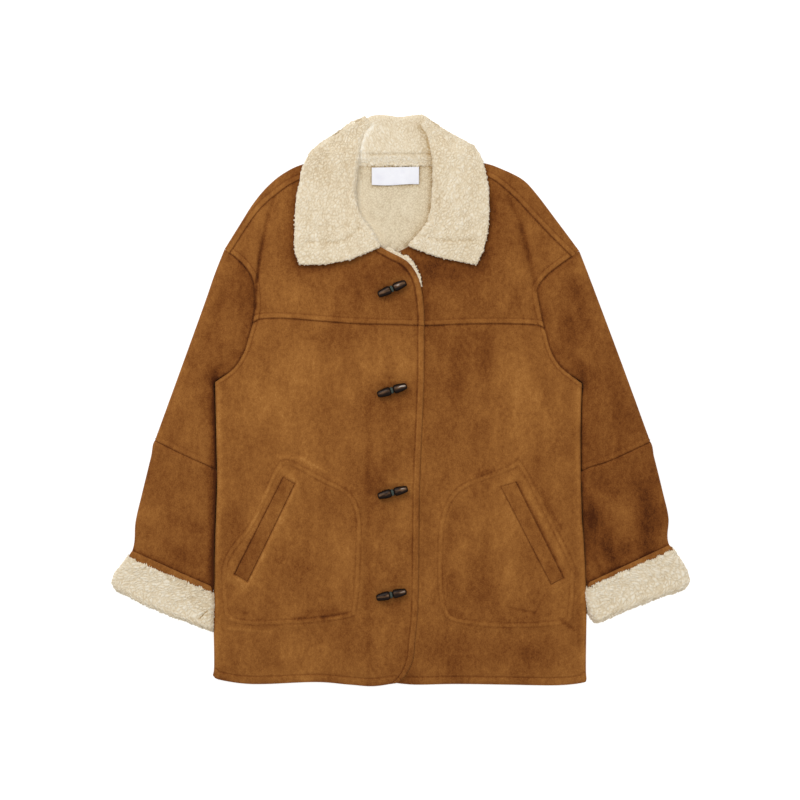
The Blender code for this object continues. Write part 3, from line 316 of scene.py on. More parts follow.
def shares(count):
    """Equal shares from 0 to 1."""
    return np.linspace(0, 1, count + 1)


def graded(length, step, fine, reach):
    """Shares of a length, closer together within reach of both ends."""
    spots = [0.0]
    while spots[-1] < length:
        edge = min(spots[-1], length - spots[-1])
        spots.append(spots[-1] + fine + (step - fine) * float(ease((edge - reach) / (3 * step))))
    spots = np.array(spots)
    return spots / spots[-1]


def off_chord(line, t):
    """How far a line lies from the straight one between its ends."""
    return line(t) - line(0.0) - np.asarray(t)[..., None] * (line(1.0) - line(0.0))


def fill(left, right, bottom, top, across, up=None):
    """Plan points of a panel from its four edges.

    across holds the places in a row from 0 at the left to 1, and up how far each row follows the top edge's bow.
    """
    run = run_along((left + right) / 2)
    run = (run / run[-1])[:, None, None]
    up = run if up is None else up[:, None, None]
    straight = left[:, None] + (right - left)[:, None] * across[:, None]
    return straight + (1 - run) * off_chord(bottom, across) + up * off_chord(top, across)


def segment_distance(x, y, x0, y0, x1, y1):
    """Distance to a straight line, and the share of it at which it is nearest."""
    dx, dy = x1 - x0, y1 - y0
    along = np.clip(((x - x0) * dx + (y - y0) * dy) / (dx * dx + dy * dy), 0, 1)
    return np.hypot(x - x0 - along * dx, y - y0 - along * dy), along


def line_distance(x, y, line):
    """Distance to the line through the points."""
    nearest = np.full(np.shape(x), 1e9)
    for a, b in zip(line, line[1:]):
        nearest = np.minimum(nearest, segment_distance(x, y, *a, *b)[0])
    return nearest


def inside_distance(x, y, outline):
    """Distance to a closed outline, positive inside it."""
    outline = [tuple(p) for p in outline]
    nearest = np.full(np.shape(x), 1e9)
    inside = np.zeros(np.shape(x), bool)
    for (x0, y0), (x1, y1) in zip(outline, outline[1:] + outline[:1]):
        nearest = np.minimum(nearest, segment_distance(x, y, x0, y0, x1, y1)[0])
        crosses = (y0 > y) != (y1 > y)
        inside ^= crosses & (x < (x1 - x0) * (y - y0) / ((y1 - y0) or 1e-9) + x0)
    return np.where(inside, nearest, -nearest)


def creases(x, y, rows):
    """Depth of the creases listed as (x, y, x, y, depth, half width)."""
    total = np.zeros(np.shape(x))
    for x0, y0, x1, y1, depth, half_width in rows:
        total = np.maximum(total, depth * bell(segment_distance(x, y, x0, y0, x1, y1)[0], half_width))
    return total


def direction(a, b):
    """Unit vector from a to b."""
    return (b - a) / np.linalg.norm(b - a, axis=-1, keepdims=True)


def with_height(plan, height):
    return np.concatenate([plan, np.asarray(height)[..., None]], axis=-1)


# Noise


def hashed(ix, iy, seed):
    """A fixed number from 0 to 1 for each lattice point."""
    h = (ix.astype(np.int64) * 374761393 + iy.astype(np.int64) * 668265263 + seed * 1274126177) & 0xFFFFFFFF
    h = ((h ^ (h >> 13)) * 1103515245) & 0xFFFFFFFF
    return ((h ^ (h >> 16)) & 0xFFFFFF) / 0xFFFFFF


def noise(x, y, seed=0):
    """Smooth noise from -1 to 1 with a wavelength of about 2."""
    ix, iy = np.floor(x), np.floor(y)
    u, v = ease(x - ix), ease(y - iy)
    low = hashed(ix, iy, seed) * (1 - u) + hashed(ix + 1, iy, seed) * u
    high = hashed(ix, iy + 1, seed) * (1 - u) + hashed(ix + 1, iy + 1, seed) * u
    return 2 * (low * (1 - v) + high * v) - 1


def cells(x, y, seed):
    """Distances to the nearest and second nearest of jittered points on a unit lattice."""
    ix, iy = np.floor(x), np.floor(y)
    first, second = np.full(np.shape(x), 9.0), np.full(np.shape(x), 9.0)
    for dx in (-1, 0, 1):
        for dy in (-1, 0, 1):
            cx = ix + dx + 0.03 + 0.94 * hashed(ix + dx, iy + dy, seed)
            cy = iy + dy + 0.03 + 0.94 * hashed(ix + dx, iy + dy, seed + 7)
            distance = (x - cx) ** 2 + (y - cy) ** 2
            second = np.minimum(second, np.maximum(first, distance))
            first = np.minimum(first, distance)
    return np.sqrt(first), np.sqrt(second)


def curls(u, v, seed, size=1.0, parted=0.36):
    """Height of curly pile from 0 in a parting to 1 on a curl, by places across and along it."""
    u, v = u / size, v / size
    warped_u = u + 2.6 * noise(u / 6.5, v / 6.5, seed) + 0.9 * noise(u / 2.4, v / 2.4, seed + 1)
    warped_v = v + 2.6 * noise(u / 6.5, v / 6.5, seed + 2) + 0.9 * noise(u / 2.4, v / 2.4, seed + 3)
    turned_u, turned_v = 0.82 * warped_u - 0.57 * warped_v, 0.57 * warped_u + 0.82 * warped_v
    first, second = cells(turned_u / CURL[0], turned_v / CURL[1], seed + 4)
    gap = bell(second - first, 0.34)
    first, second = cells(warped_u / 2.2 + 5, warped_v / 2.8, seed + 5)
    small = bell(second - first, 0.5)
    lock = noise(u / 5.5 + 9, v / 8, seed + 6)
    return 0.63 + parted * (0.48 - gap) + 0.2 * (0.6 - small) + 0.07 * lock


def tufts(u, v, seed):
    """Uneven locks from 0 to 1."""
    return np.clip(0.75 * noise(u / 2.3, v / 2.3, seed) + 0.45 * noise(u / 1.25, v / 1.25, seed + 1) + 0.25, 0, 1)


def undulation(x, y, seed):
    """The cloth's own gentle waves."""
    return (0.45 * noise(x / 45, y / 60, seed) + 0.22 * noise(x / 17 + 4, y / 26, seed + 1)
            + 0.10 * noise(x / 7 + 8, y / 9, seed + 2))


def nap(x, y, seed):
    """Lighter and darker brushing of the nap."""
    return 0.16 * noise(x / 42, y / 60, seed) + 0.1 * noise(x / 16, y / 24, seed + 1)


# Heights of the layers


def side_distance(x, y):
    """Distance in from the coat's sides and shoulders."""
    left, right = (x_at(y, SIDE[side] + ARMHOLE_LOW[side][1:] + ARMHOLE_HIGH[side][1:] + SHOULDER[side])
                   for side in SIDE)
    return np.minimum(x - left, right - x)


def overlap(y):
    """How far the left front reaches past the centre."""
    return np.maximum(24 * ease((y - 150) / 40), x_at(y, FRONT_EDGE + YOKE_EDGE[1:]) - CENTRE_FRONT)


def front_height(x, y):
    """Level of the fronts' middle, with the cloth's loft, the pocket bags and the broad creases."""
    loft = ease(side_distance(x, y) / 34) * ease((y + 436) / 40)
    lapped = ease((abs(x - CENTRE_FRONT) - overlap(y)) / 26)
    pockets = sum(ease((inside_distance(x, y, POCKET[name]) + 12) / 12) for name in POCKET)
    return FRONT_LEVEL + np.maximum(0, LOFT * loft * lapped + BAG_BUMP * pockets - creases(x, y, CREASES))


def left_front_height(x, y):
    """The same where the left front climbs over the right one."""
    beyond = CENTRE_FRONT - overlap(y) - LAP_MARGIN - x
    return front_height(x, y) + LAP_RISE * (1 - ease(beyond / LAP_RAMP)) * (1 - ease((y - 238) / 70))


LAYER_HEIGHT = {"left": left_front_height, "right": front_height}


# Meshes


def grid_quads(rows, columns, round_columns=False, kept=None):
    """A grid's quads; round_columns joins the last column to the first, and kept says which quads stay."""
    k, j = np.meshgrid(np.arange(rows - 1), np.arange(columns if round_columns else columns - 1), indexing="ij")
    if kept is not None:
        k, j = k[kept], j[kept]
    k, j = k.ravel(), j.ravel()
    n = (j + 1) % columns
    return np.stack([k * columns + j, k * columns + n, (k + 1) * columns + n, (k + 1) * columns + j], axis=1)


def piece(name, grids, finish, up=False, replaces=()):
    """One mesh from grids of (points, shade, round_columns, kept), which face up or else outwards."""
    material, slot = finish
    points, shade, quads, start = [], [], [], 0
    for places, tone, *joins in grids:
        found = grid_quads(*places.shape[:2], *joins)
        flat = places.reshape(-1, 3)
        a, b, c = (flat[found[:, corner]] for corner in range(3))
        normal = np.cross(b - a, c - a)
        facing = normal[:, 2].sum() if up else ((a - flat.mean(axis=0)) * normal).sum()
        quads.append((found if facing >= 0 else found[:, ::-1]) + start)
        points.append(flat)
        shade.append(np.broadcast_to(tone, places.shape[:2]).ravel())
        start += len(flat)
    points, shade, quads = np.vstack(points), np.concatenate(shade), np.vstack(quads)
    used = np.zeros(len(points), bool)
    used[quads.ravel()] = True
    points, shade, quads = points[used], shade[used], (np.cumsum(used) - 1)[quads]
    mesh = bpy.data.meshes.new(name)
    mesh.vertices.add(len(points))
    mesh.vertices.foreach_set("co", ((points - (*ORIGIN, 0)) * MM).astype(np.float32).ravel())
    mesh.loops.add(quads.size)
    mesh.loops.foreach_set("vertex_index", quads.astype(np.int32).ravel())
    mesh.polygons.add(len(quads))
    mesh.polygons.foreach_set("loop_start", np.arange(0, quads.size, 4, dtype=np.int32))
    mesh.update(calc_edges=True)
    mesh.attributes.new("shade", "FLOAT", "POINT").data.foreach_set("value", shade.astype(np.float32))
    mesh.shade_smooth()
    mesh.materials.append(material)
    made = bpy.data.objects.new(name, mesh)
    bpy.context.collection.objects.link(made)
    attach(made, "root")
    if replaces:
        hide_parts(*replaces)
    return made


def unit(vectors):
    return vectors / np.maximum(np.linalg.norm(vectors, axis=-1, keepdims=True), 1e-9)


def normals(points, round_columns=False):
    """Unit normals of a grid."""
    if round_columns:
        padded = np.concatenate([points[:, -1:], points, points[:, :1]], axis=1)
        across = (padded[:, 2:] - padded[:, :-2]) / 2
    else:
        across = np.gradient(points, axis=1)
    return unit(np.cross(across, np.gradient(points, axis=0)))


def upward_normals(points, judged=slice(None)):
    """Normals that face up on the whole, or over the judged columns."""
    facing = normals(points)
    return -facing if facing[:, judged, 2].sum() < 0 else facing


def outward_normals(points, middle):
    """Normals of a tube that face away from its middle."""
    facing = normals(points, round_columns=True)
    return -facing if ((points - middle) * facing).sum() < 0 else facing


def skirted(points, shade, low, inset=0.15, sides=(True, True, True, True)):
    """Turns a grid's edges down to the level low; sides are the first and last row and the first and last column."""
    shade = np.array(np.broadcast_to(shade, points.shape[:2]))
    low = np.array(np.broadcast_to(low, points.shape[:2]), float)
    for side, wanted in enumerate(sides):
        if not wanted:
            continue
        axis, last = divmod(side, 2)
        edge, inner = (np.take(points, [at], axis=axis) for at in ((-1, -2) if last else (0, 1)))
        inwards = inner - edge
        inwards[..., 2] = 0
        drop = edge + unit(inwards) * inset
        level, tint = (np.take(values, [-1 if last else 0], axis=axis) for values in (low, shade))
        drop[..., 2] = level
        # the turned-down edges get painted shade, 0.15 darker than the edge above them
        points, shade, low = (np.concatenate([old, new] if last else [new, old], axis=axis)
                              for old, new in ((points, drop), (shade, tint - 0.15), (low, level)))
    return points, shade


def floored(points, level=0.0):
    """Lifts what lies lower to the level."""
    points[..., 2] = np.maximum(points[..., 2], level)
    return points


def plan_area(plan):
    """Square metres of a grid's plan."""
    return abs(np.cross(np.diff(plan, axis=0)[:, :-1], np.diff(plan, axis=1)[:-1])).sum() * MM * MM


# Relief, by the distance in from an edge or a seam


def seam_strip(d, height=0.8):
    """Height of a lapped seam on its upper panel: the groove, the raised strip and its stitching."""
    return height * plateau(d, 1.8, RIDGE - 1.4, 2.2) - 0.4 * bell(d, 1.0) - 0.4 * bell(d - RIDGE, 0.9)


def seam_shade(d):
    """Painted shade in a lapped seam's groove and stitching on its upper panel, and a lighter raised strip."""
    return -0.5 * bell(d, 1.3) - 0.22 * bell(d - RIDGE, 1.1) + 0.13 * plateau(d - 1, 2, RIDGE - 3.2, 2)


def edge_roll(d, radius):
    """How far an edge of that radius falls."""
    d = np.clip(d, 0, radius)
    return radius - np.sqrt(np.maximum(radius**2 - (radius - d) ** 2, 0))


def stitched_edge(d, depth, width):
    """Height of the front edge: its roll, the raised strip and the stitched groove."""
    return 0.8 * plateau(d, 3, EDGE_STITCH - 2, 2.4) - edge_roll(d, EDGE_RADIUS) - depth * bell(d - EDGE_STITCH, width)


def nap_patches_and_shade(x, y):
    """The nap with its lighter and darker patches, partly painted shade near the collar and the body, and the painted
    shadow beside the collar.
    """
    shade = nap(x, y, 21)
    for patch_x, patch_y, across, along, amount in PATCHES:
        shade = shade + amount * np.exp(-(((x - patch_x) / across) ** 2) - ((y - patch_y) / along) ** 2)
    leaves = [[row[:2] for row in rows] + [row[2:4] for row in reversed(rows)] for rows in LEAF.values()]
    near = np.maximum(*(inside_distance(x, y, outline) for outline in leaves))
    # painted shadow on the suede beside the collar leaves
    return shade - 0.5 * np.exp(np.minimum(near, 0) / 11) * (y > 120)


# Materials


def srgb(*values):
    """A colour given as 8-bit display values, as the shader wants it."""
    return tuple(((v / 255 + 0.055) / 1.055) ** 2.4 for v in values) + (1.0,)


class Nodes:
    """A material's node tree, built by short calls."""

    def __init__(self, name):
        self.material = bpy.data.materials.new(name)
        self.material.use_nodes = True
        self.tree = self.material.node_tree
        self.shader = self.tree.nodes["Principled BSDF"]
        self.place = self.add("ShaderNodeTexCoord").outputs["Object"]

    def add(self, kind, **settings):
        node = self.tree.nodes.new(kind)
        for key, value in settings.items():
            setattr(node, key, value)
        return node

    def join(self, source, target):
        self.tree.links.new(source, target)

    def noise(self, scale, detail=3.0, roughness=0.55, stretch=(1, 1, 1), distortion=0.0):
        mapping = self.add("ShaderNodeMapping")
        mapping.inputs["Scale"].default_value = stretch
        self.join(self.place, mapping.inputs["Vector"])
        node = self.add("ShaderNodeTexNoise")
        node.inputs["Scale"].default_value = scale
        node.inputs["Detail"].default_value = detail
        node.inputs["Roughness"].default_value = roughness
        node.inputs["Distortion"].default_value = distortion
        self.join(mapping.outputs["Vector"], node.inputs["Vector"])
        return node.outputs["Fac"]

    def attribute(self, name):
        return self.add("ShaderNodeAttribute", attribute_name=name).outputs["Fac"]

    def math(self, operation, a, b):
        node = self.add("ShaderNodeMath", operation=operation)
        for socket, value in zip(node.inputs, (a, b)):
            if isinstance(value, (int, float)):
                socket.default_value = value
            else:
                self.join(value, socket)
        return node.outputs[0]

    def centred(self, source, weight):
        """A noise of mean one half as a swing about nought."""
        return self.math("MULTIPLY", self.math("SUBTRACT", source, 0.5), weight)

    def sum(self, *sources):
        total = sources[0]
        for source in sources[1:]:
            total = self.math("ADD", total, source)
        return total

    def ramp(self, source, *stops):
        node = self.add("ShaderNodeValToRGB")
        ramp = node.color_ramp
        while len(ramp.elements) < len(stops):
            ramp.elements.new(0.5)
        for element, (place, colour) in zip(ramp.elements, stops):
            element.position, element.color = place, colour
        self.join(source, node.inputs["Fac"])
        return node.outputs["Color"]

    def bump(self, source, distance, strength=1.0, after=None):
        node = self.add("ShaderNodeBump")
        node.inputs["Strength"].default_value = strength
        node.inputs["Distance"].default_value = distance
        self.join(source, node.inputs["Height"])
        if after is not None:
            self.join(after, node.inputs["Normal"])
        return node.outputs["Normal"]

    def finish(self, colour, normal=None, **sockets):
        self.join(colour, self.shader.inputs["Base Color"])
        if normal is not None:
            self.join(normal, self.shader.inputs["Normal"])
        for key, value in sockets.items():
            self.shader.inputs[key.replace("_", " ")].default_value = value
        return self.material


def suede():
    n = Nodes("suede_nap")
    cloud = n.centred(n.noise(14, 3, 0.6), 0.36)
    brushed = n.centred(n.noise(48, 3, 0.6, stretch=(1.0, 0.4, 1.0), distortion=0.6), 0.4)
    mottled = n.centred(n.noise(170, 3, 0.65, stretch=(1.0, 0.7, 1.0), distortion=0.3), 0.5)
    grain = n.centred(n.noise(620, 4, 0.85, stretch=(1.0, 0.8, 1.0)), 1.05)
    # the shade attribute brings painted light and shadow as well as the nap's patches; the ramp's dark end serves the
    # painted shadows
    shade = n.math("MULTIPLY", n.attribute("shade"), 0.55)
    tone = n.sum(0.5, cloud, brushed, mottled, grain, shade)
    colour = n.ramp(tone, (0.0, srgb(72, 33, 8)), (0.28, srgb(114, 64, 24)), (0.52, srgb(138, 86, 38)),
                    (0.76, srgb(161, 106, 50)), (1.0, srgb(184, 130, 70)))
    normal = n.bump(n.noise(260, 4, 0.7), 0.0006, 0.5)
    normal = n.bump(n.noise(1400, 2, 0.6), 0.0003, 0.45, after=normal)
    return n.finish(colour, normal, Roughness=0.95, Specular_IOR_Level=0.12, Sheen_Weight=0.2, Sheen_Roughness=0.45,
                    Sheen_Tint=srgb(214, 160, 104))


def fleece(name, valley, middle, crest):
    """Pile coloured from its partings to the crests of its curls: the partings darker and warmer, partly the pile's
    own colour and partly painted shade.
    """
    n = Nodes(name)
    pile = n.sum(0.5, n.math("MULTIPLY", n.math("SUBTRACT", n.attribute("shade"), 0.62), 0.85))
    tone = n.sum(pile, n.centred(n.noise(26, 2, 0.5), 0.16), n.centred(n.noise(620, 3, 0.7), 0.2))
    colour = n.ramp(tone, (0.0, valley), (0.5, middle), (1.0, crest))
    normal = n.bump(n.noise(1100, 4, 0.75, distortion=1.2), 0.0006, 0.7)
    return n.finish(colour, normal, Roughness=0.95, Specular_IOR_Level=0.1, Sheen_Weight=0.3, Sheen_Roughness=0.5,
                    Sheen_Tint=srgb(255, 248, 232))


def toggle_wood():
    n = Nodes("toggle_wood")
    stripes = n.noise(420, 4, 0.65, stretch=(0.22, 1.0, 1.0), distortion=0.8)
    tone = n.sum(n.attribute("shade"), n.centred(stripes, 0.4))
    # the ramp's pale end gives the painted highlight on the toggles
    colour = n.ramp(tone, (0.0, srgb(14, 8, 6)), (0.3, srgb(40, 24, 15)), (0.62, srgb(108, 80, 56)),
                    (1.0, srgb(204, 198, 190)))
    return n.finish(colour, n.bump(stripes, 0.0002, 0.3), Roughness=0.34, Specular_IOR_Level=0.12)


def waxed_thread():
    n = Nodes("toggle_thread")
    fibre = n.noise(2400, 3, 0.6, stretch=(1, 0.3, 1))
    colour = n.ramp(fibre, (0.2, srgb(24, 32, 28)), (0.8, srgb(74, 88, 78)))
    return n.finish(colour, n.bump(fibre, 0.0001, 0.6), Roughness=0.6)


def satin():
    n = Nodes("label_satin")
    weave = n.add("ShaderNodeTexWave", bands_direction="Y")
    weave.inputs["Scale"].default_value = 900
    weave.inputs["Distortion"].default_value = 0.6
    n.join(n.place, weave.inputs["Vector"])
    colour = n.ramp(n.noise(60, 2), (0.2, srgb(232, 232, 240)), (0.8, srgb(247, 247, 251)))
    return n.finish(colour, n.bump(weave.outputs["Fac"], 0.0001, 0.3), Roughness=0.5, Sheen_Weight=0.2)


# Each finish with its slot
SUEDE = suede(), "suede"
FLEECE = fleece("fleece_curly", srgb(182, 153, 109), srgb(233, 217, 188), srgb(254, 247, 231)), "fleece"
LINING = fleece("fleece_short", srgb(176, 150, 110), srgb(226, 211, 182), srgb(244, 233, 209)), "fleece"
WOOD = toggle_wood(), "dark_wood"
THREAD = waxed_thread(), "toggle_thread"
SATIN = satin(), "label_satin"


# Body


def front_edge(table, side):
    """The inner edge of a front or a yoke; the right one's lies hidden and mirrors the left one's."""
    edge = np.array(table, float)
    if side == "right":
        edge[:, 0] = 2 * CENTRE_FRONT - edge[:, 0]
    return curve(edge)


def front_plan(side):
    """Plan points of a front, its outer and inner edges, and which rows lie along the side seam."""
    low = curve(SIDE[side])(shares(300))
    line = np.vstack([low, curve(ARMHOLE_LOW[side])(shares(100))[1:]])
    run = run_along(line)
    t = graded(run[-1], PANEL_STEP, FINE_STEP, 14)
    seam_end = run[len(low) - 1] / run[-1]
    left, right = path(line)(t), front_edge(FRONT_EDGE, side)(t)
    across = graded(np.linalg.norm(right - left, axis=1).max(), PANEL_STEP, FINE_STEP, 12)
    rise = ((t - seam_end) / (1 - seam_end)).clip(0, 1)
    return fill(left, right, curve(HEM[side]), curve(YOKE_SEAM[side]), across, rise), left, right, t < seam_end


def box_lines(x, y, centre, half, groove):
    """A stitched box's outline as a groove."""
    dx, dy = abs(x - centre[0]) - half[0], abs(y - centre[1]) - half[1]
    outside = np.hypot(np.maximum(dx, 0), np.maximum(dy, 0))
    return bell(np.where((dx < 0) & (dy < 0), -np.maximum(dx, dy), outside), groove)


def pocket_relief(x, y, side):
    """The bag's stitched outline, the welt's opening and the marks on a front, as height and shade."""
    bulge, gape, far_shade, fading = (1.0, 0.5, 0.2, 0.0) if side == "left" else (0.45, 3.6, 0.52, 0.45)
    d = inside_distance(x, y, curve(POCKET[side] + POCKET[side][:1])(shares(90)[:-1]))
    patchy = 0.8 + 0.3 * noise(x / 30, y / 30, 61)
    lines = bell(d, 1.1) + bell(d - POCKET_STITCH, 1.1)
    height = patchy * (0.55 * plateau(d + 1, 3, 7, 3) - 0.5 * lines)
    # painted light on the raised outline strip and painted shade in its stitched lines
    shade = patchy * (0.14 * plateau(d, 3, 5, 3) - 0.32 * lines)

    upper_outer, upper_inner, lower_inner, lower_outer = WELT[side]
    to_inner = segment_distance(x, y, *upper_inner, *lower_inner)[0]
    to_low = segment_distance(x, y, *lower_inner, *lower_outer)[0]
    to_outer, along = segment_distance(x, y, *lower_outer, *upper_outer)
    inside = inside_distance(x, y, WELT[side])
    outside = ease(-inside / 2)
    gape = gape * np.sin(math.pi * along) ** 0.7
    height += outside * bulge * 2.2 * np.maximum(bell(to_inner - 6, 7), 0.8 * bell(to_low - 5, 6))
    height += outside * (0.7 * bell(to_outer - 10, 6) - 1.4 * bell(to_outer, 1.2 + gape))
    height -= 1.2 * ease((inside + 0.5) / 1.5)
    # painted highlight on the bulge beside the welt
    shade += outside * bulge * 0.6 * np.maximum(ease(to_inner / 3) * np.exp(-to_inner / 13),
                                                0.8 * ease(to_low / 3) * np.exp(-to_low / 11))
    # painted shadow in the welt's opening and along its edges, with painted light just beyond
    shade += outside * (0.2 * bell(to_outer - 11, 5) - far_shade * bell(to_outer, 1.0 + gape))
    shade -= 0.8 * bell(to_outer, 1.6) * (1 - fading + fading * along) + 0.3 * bell(to_inner, 1.2)
    # painted shade in the marks' folds
    for *ends, depth, reach, tone in MARKS[side]:
        mark = bell(segment_distance(x, y, *ends)[0], reach)
        height -= depth * mark
        shade -= tone * mark
    return height, shade


def beside_lap(x, y):
    """How the right front's cloth rises against the left front's edge, and its shade there."""
    d = x - x_at(y, FRONT_EDGE + YOKE_EDGE[1:-1])
    rise = 3.4 * plateau(d + 3, 3, 4, 24) * (1 - ease((y - 140) / 30)) * ease((y + 428) / 16)
    return rise, -0.42 * np.exp(-np.maximum(d, 0) / 11) * ease((y + 60) / 90) + 0.2 * bell(d, 3) * ease(-y / 60)


def below_toggle(x, y, toggle_x, toggle_y):
    """The shade round a toggle."""
    return bell(np.hypot((x - toggle_x) / 1.6, y - toggle_y + 6), 14)


def front(side):
    """A front with its seams, hem, pocket relief and, on the left, the stitched edge and toggle boxes."""
    plan, left, right, sewn = front_plan(side)
    x, y = plan[..., 0], plan[..., 1]
    sewn = sewn[:, None]
    layer = LAYER_HEIGHT[side](x, y)
    to_side = np.linalg.norm(plan - left[:, None], axis=-1)
    to_edge = np.linalg.norm(plan - right[:, None], axis=-1)
    to_hem, to_seam = (line_distance(x, y, plan[row, ::6]) for row in (0, -1))
    to_arm = line_distance(x, y, curve(ARMHOLE_LOW[side])(shares(30)))

    z = layer + WALL / 2 + undulation(x, y, 11) - 0.5 * bell(to_seam, 1.5) - 0.4 * bell(to_arm - ARM_STITCH, 1.0)
    z -= np.where(sewn, edge_roll(to_side, WALL if side == "left" else 3.4), edge_roll(to_arm, 2.4))
    z += 0.5 * plateau(to_hem, 3, HEM_STITCH - 2, 2) - edge_roll(to_hem, EDGE_RADIUS)
    z -= 0.5 * bell(to_hem - HEM_STITCH, 1.0)
    # painted shade in the yoke seam and the hem stitching, and darker along the hem
    shade = nap_patches_and_shade(x, y) - (0.42 + 0.12 * noise(x / 9, y / 9, 28)) * bell(to_seam, 1.6)
    shade -= 0.35 * bell(to_hem - HEM_STITCH, 1.2) + 0.16 * (1 - ease(to_hem / 8))
    # a painted shade line where the right front's hidden edge lies beneath
    shade -= (0.16 + 0.1 * noise(x / 4, y / 22, 27)) * bell(x - UNDERLAP_X, 7) * ease((60 - y) / 60)
    # painted highlight along the rounded side edge, a lighter strip along the armhole and painted shade in its
    # stitching
    shade += np.where(sewn, 0.3 * bell(to_side - 5, 5), 0.2 * bell(to_arm - 2.5, 3))
    shade -= 0.3 * bell(to_arm - ARM_STITCH, 1.1)
    if side == "left":
        z += stitched_edge(to_edge, 0.5, 1.0)
        # painted highlight on the raised edge strip and painted shade in its stitched groove
        shade += 0.16 * (1 - ease((to_edge - 7.5) / 2)) * ease((y + 160) / 150) + 0.14 * bell(to_edge - 7.8, 1.4)
        shade -= (0.36 + 0.12 * noise(y / 9, y / 11, 29)) * bell(to_edge - EDGE_STITCH, 1.3)
        for toggle_x, toggle_y, _ in TOGGLES[1:]:
            box = box_lines(x, y, (toggle_x + 9, toggle_y - 2), (23, 17), 1.0)
            z += 0.25 * box
            # painted highlight on the top and right of each stitched box, and painted shadow round the toggle
            shade += 0.22 * box * ease((x - toggle_x + 20) / 30) * ease((y - toggle_y + 24) / 20)
            shade -= 0.12 * below_toggle(x, y, toggle_x, toggle_y)
    else:
        # beside_lap gives the rise and a painted shadow beside the left front's edge, with a little painted light
        # right at it
        rise, tint = beside_lap(x, y)
        z += rise
        shade += tint
    height, tint = pocket_relief(x, y, side)
    grid = skirted(with_height(plan, z + height), shade + tint, layer - WALL / 2)
    made = piece(f"front_{side}_suede", [grid], SUEDE, up=True, replaces=[f"front_{side}"])
    plan_area(plan)


def yoke(side):
    """A front yoke, whose seams lap over the front and the sleeve."""
    t = graded(150, YOKE_STEP, FINE_STEP, 12)
    split = 3 / 7  # the front edge's share of the inner edge; the neckline has the rest
    edge = front_edge(YOKE_EDGE, side)
    outer = curve(ARMHOLE_HIGH[side])(t)
    inner = np.where((t <= split)[:, None], edge((t / split).clip(0, 1)),
                     curve(NECKLINE[side])(((t - split) / (1 - split)).clip(0, 1)))
    plan = fill(outer, inner, curve(YOKE_SEAM[side]), curve(FORWARD_SEAM[side]), graded(270, YOKE_STEP, FINE_STEP, 12))
    x, y = plan[..., 0], plan[..., 1]
    layer = LAYER_HEIGHT[side](x, y)
    to_seam, to_forward = (line_distance(x, y, plan[row, ::6]) for row in (0, -1))
    to_arm = line_distance(x, y, outer[::4])
    to_edge = line_distance(x, y, edge(shares(60)))
    fold = creases(x, y, FINE_CREASES[f"yoke_{side}"])
    z = layer + WALL / 2 + undulation(x, y, 12) - 0.6 * bell(to_forward, 1.3) - fold
    z += seam_strip(to_seam) + seam_strip(to_arm)
    # painted shade in the seams' grooves, the forward seam and the creases
    shade = nap_patches_and_shade(x, y) + seam_shade(to_seam) + seam_shade(to_arm) - 0.4 * bell(to_forward, 1.4) - 0.26 * fold
    if side == "left":
        z += stitched_edge(to_edge, 0.8, 1.3)
        # painted highlight on the edge strip, painted shade in its stitching and painted shadow under the top toggle
        shade += 0.25 * (1 - ease((to_edge - 7.5) / 2)) - 0.5 * bell(to_edge - EDGE_STITCH, 1.4)
        shade -= 0.14 * below_toggle(x, y, *TOGGLES[0][:2])
    else:
        rise, tint = beside_lap(x, y)
        z += rise
        shade += tint
    grid = skirted(with_height(plan, z), shade, np.where(y > 222, WALL, layer - WALL / 2))
    made = piece(f"yoke_{side}_suede", [grid], SUEDE, up=True, replaces=[f"yoke_{side}"])
    plan_area(plan)
    [front_pile()] if side == "left" else []


def underside():
    """The back's lower face with its rounded sides."""
    lines = [np.vstack([curve(SIDE[side])(graded(446, 7, 4, 12)), curve(ARMHOLE_LOW[side])(shares(14))[1:],
                        curve(ARMHOLE_HIGH[side])(shares(16))[1:], SHOULDER[side][:1]]) for side in SIDE]
    top = np.vstack([curve(SHOULDER["left"])(shares(40)), BACK_NECK, curve(SHOULDER["right"])(shares(40))[::-1]])
    rows, width, sewn = len(lines[0]), 560.0, 60
    near = np.array([0, 0.35, 1.0, 2.0, 3.4, 5.0])
    across = np.concatenate([near, np.linspace(5, width - 5, 90)[1:-1], width - near[::-1]]) / width
    rise = ((np.arange(rows) - sewn) / (rows - 1 - sewn)).clip(0, 1)
    plan = fill(*lines, curve(BACK_HEM), path(top), across, rise)
    x, y = plan[..., 0], plan[..., 1]
    sides = edge_roll(np.minimum(across, 1 - across) * width, WALL) * 0.98
    z = np.maximum(sides, edge_roll(line_distance(x, y, plan[0]), WALL / 2))
    shade = nap(x, y, 33) + 0.14 * noise(x / 110, y / 130, 35)
    return skirted(with_height(plan, z), shade, WALL - 0.05, sides=(True, True, False, False))


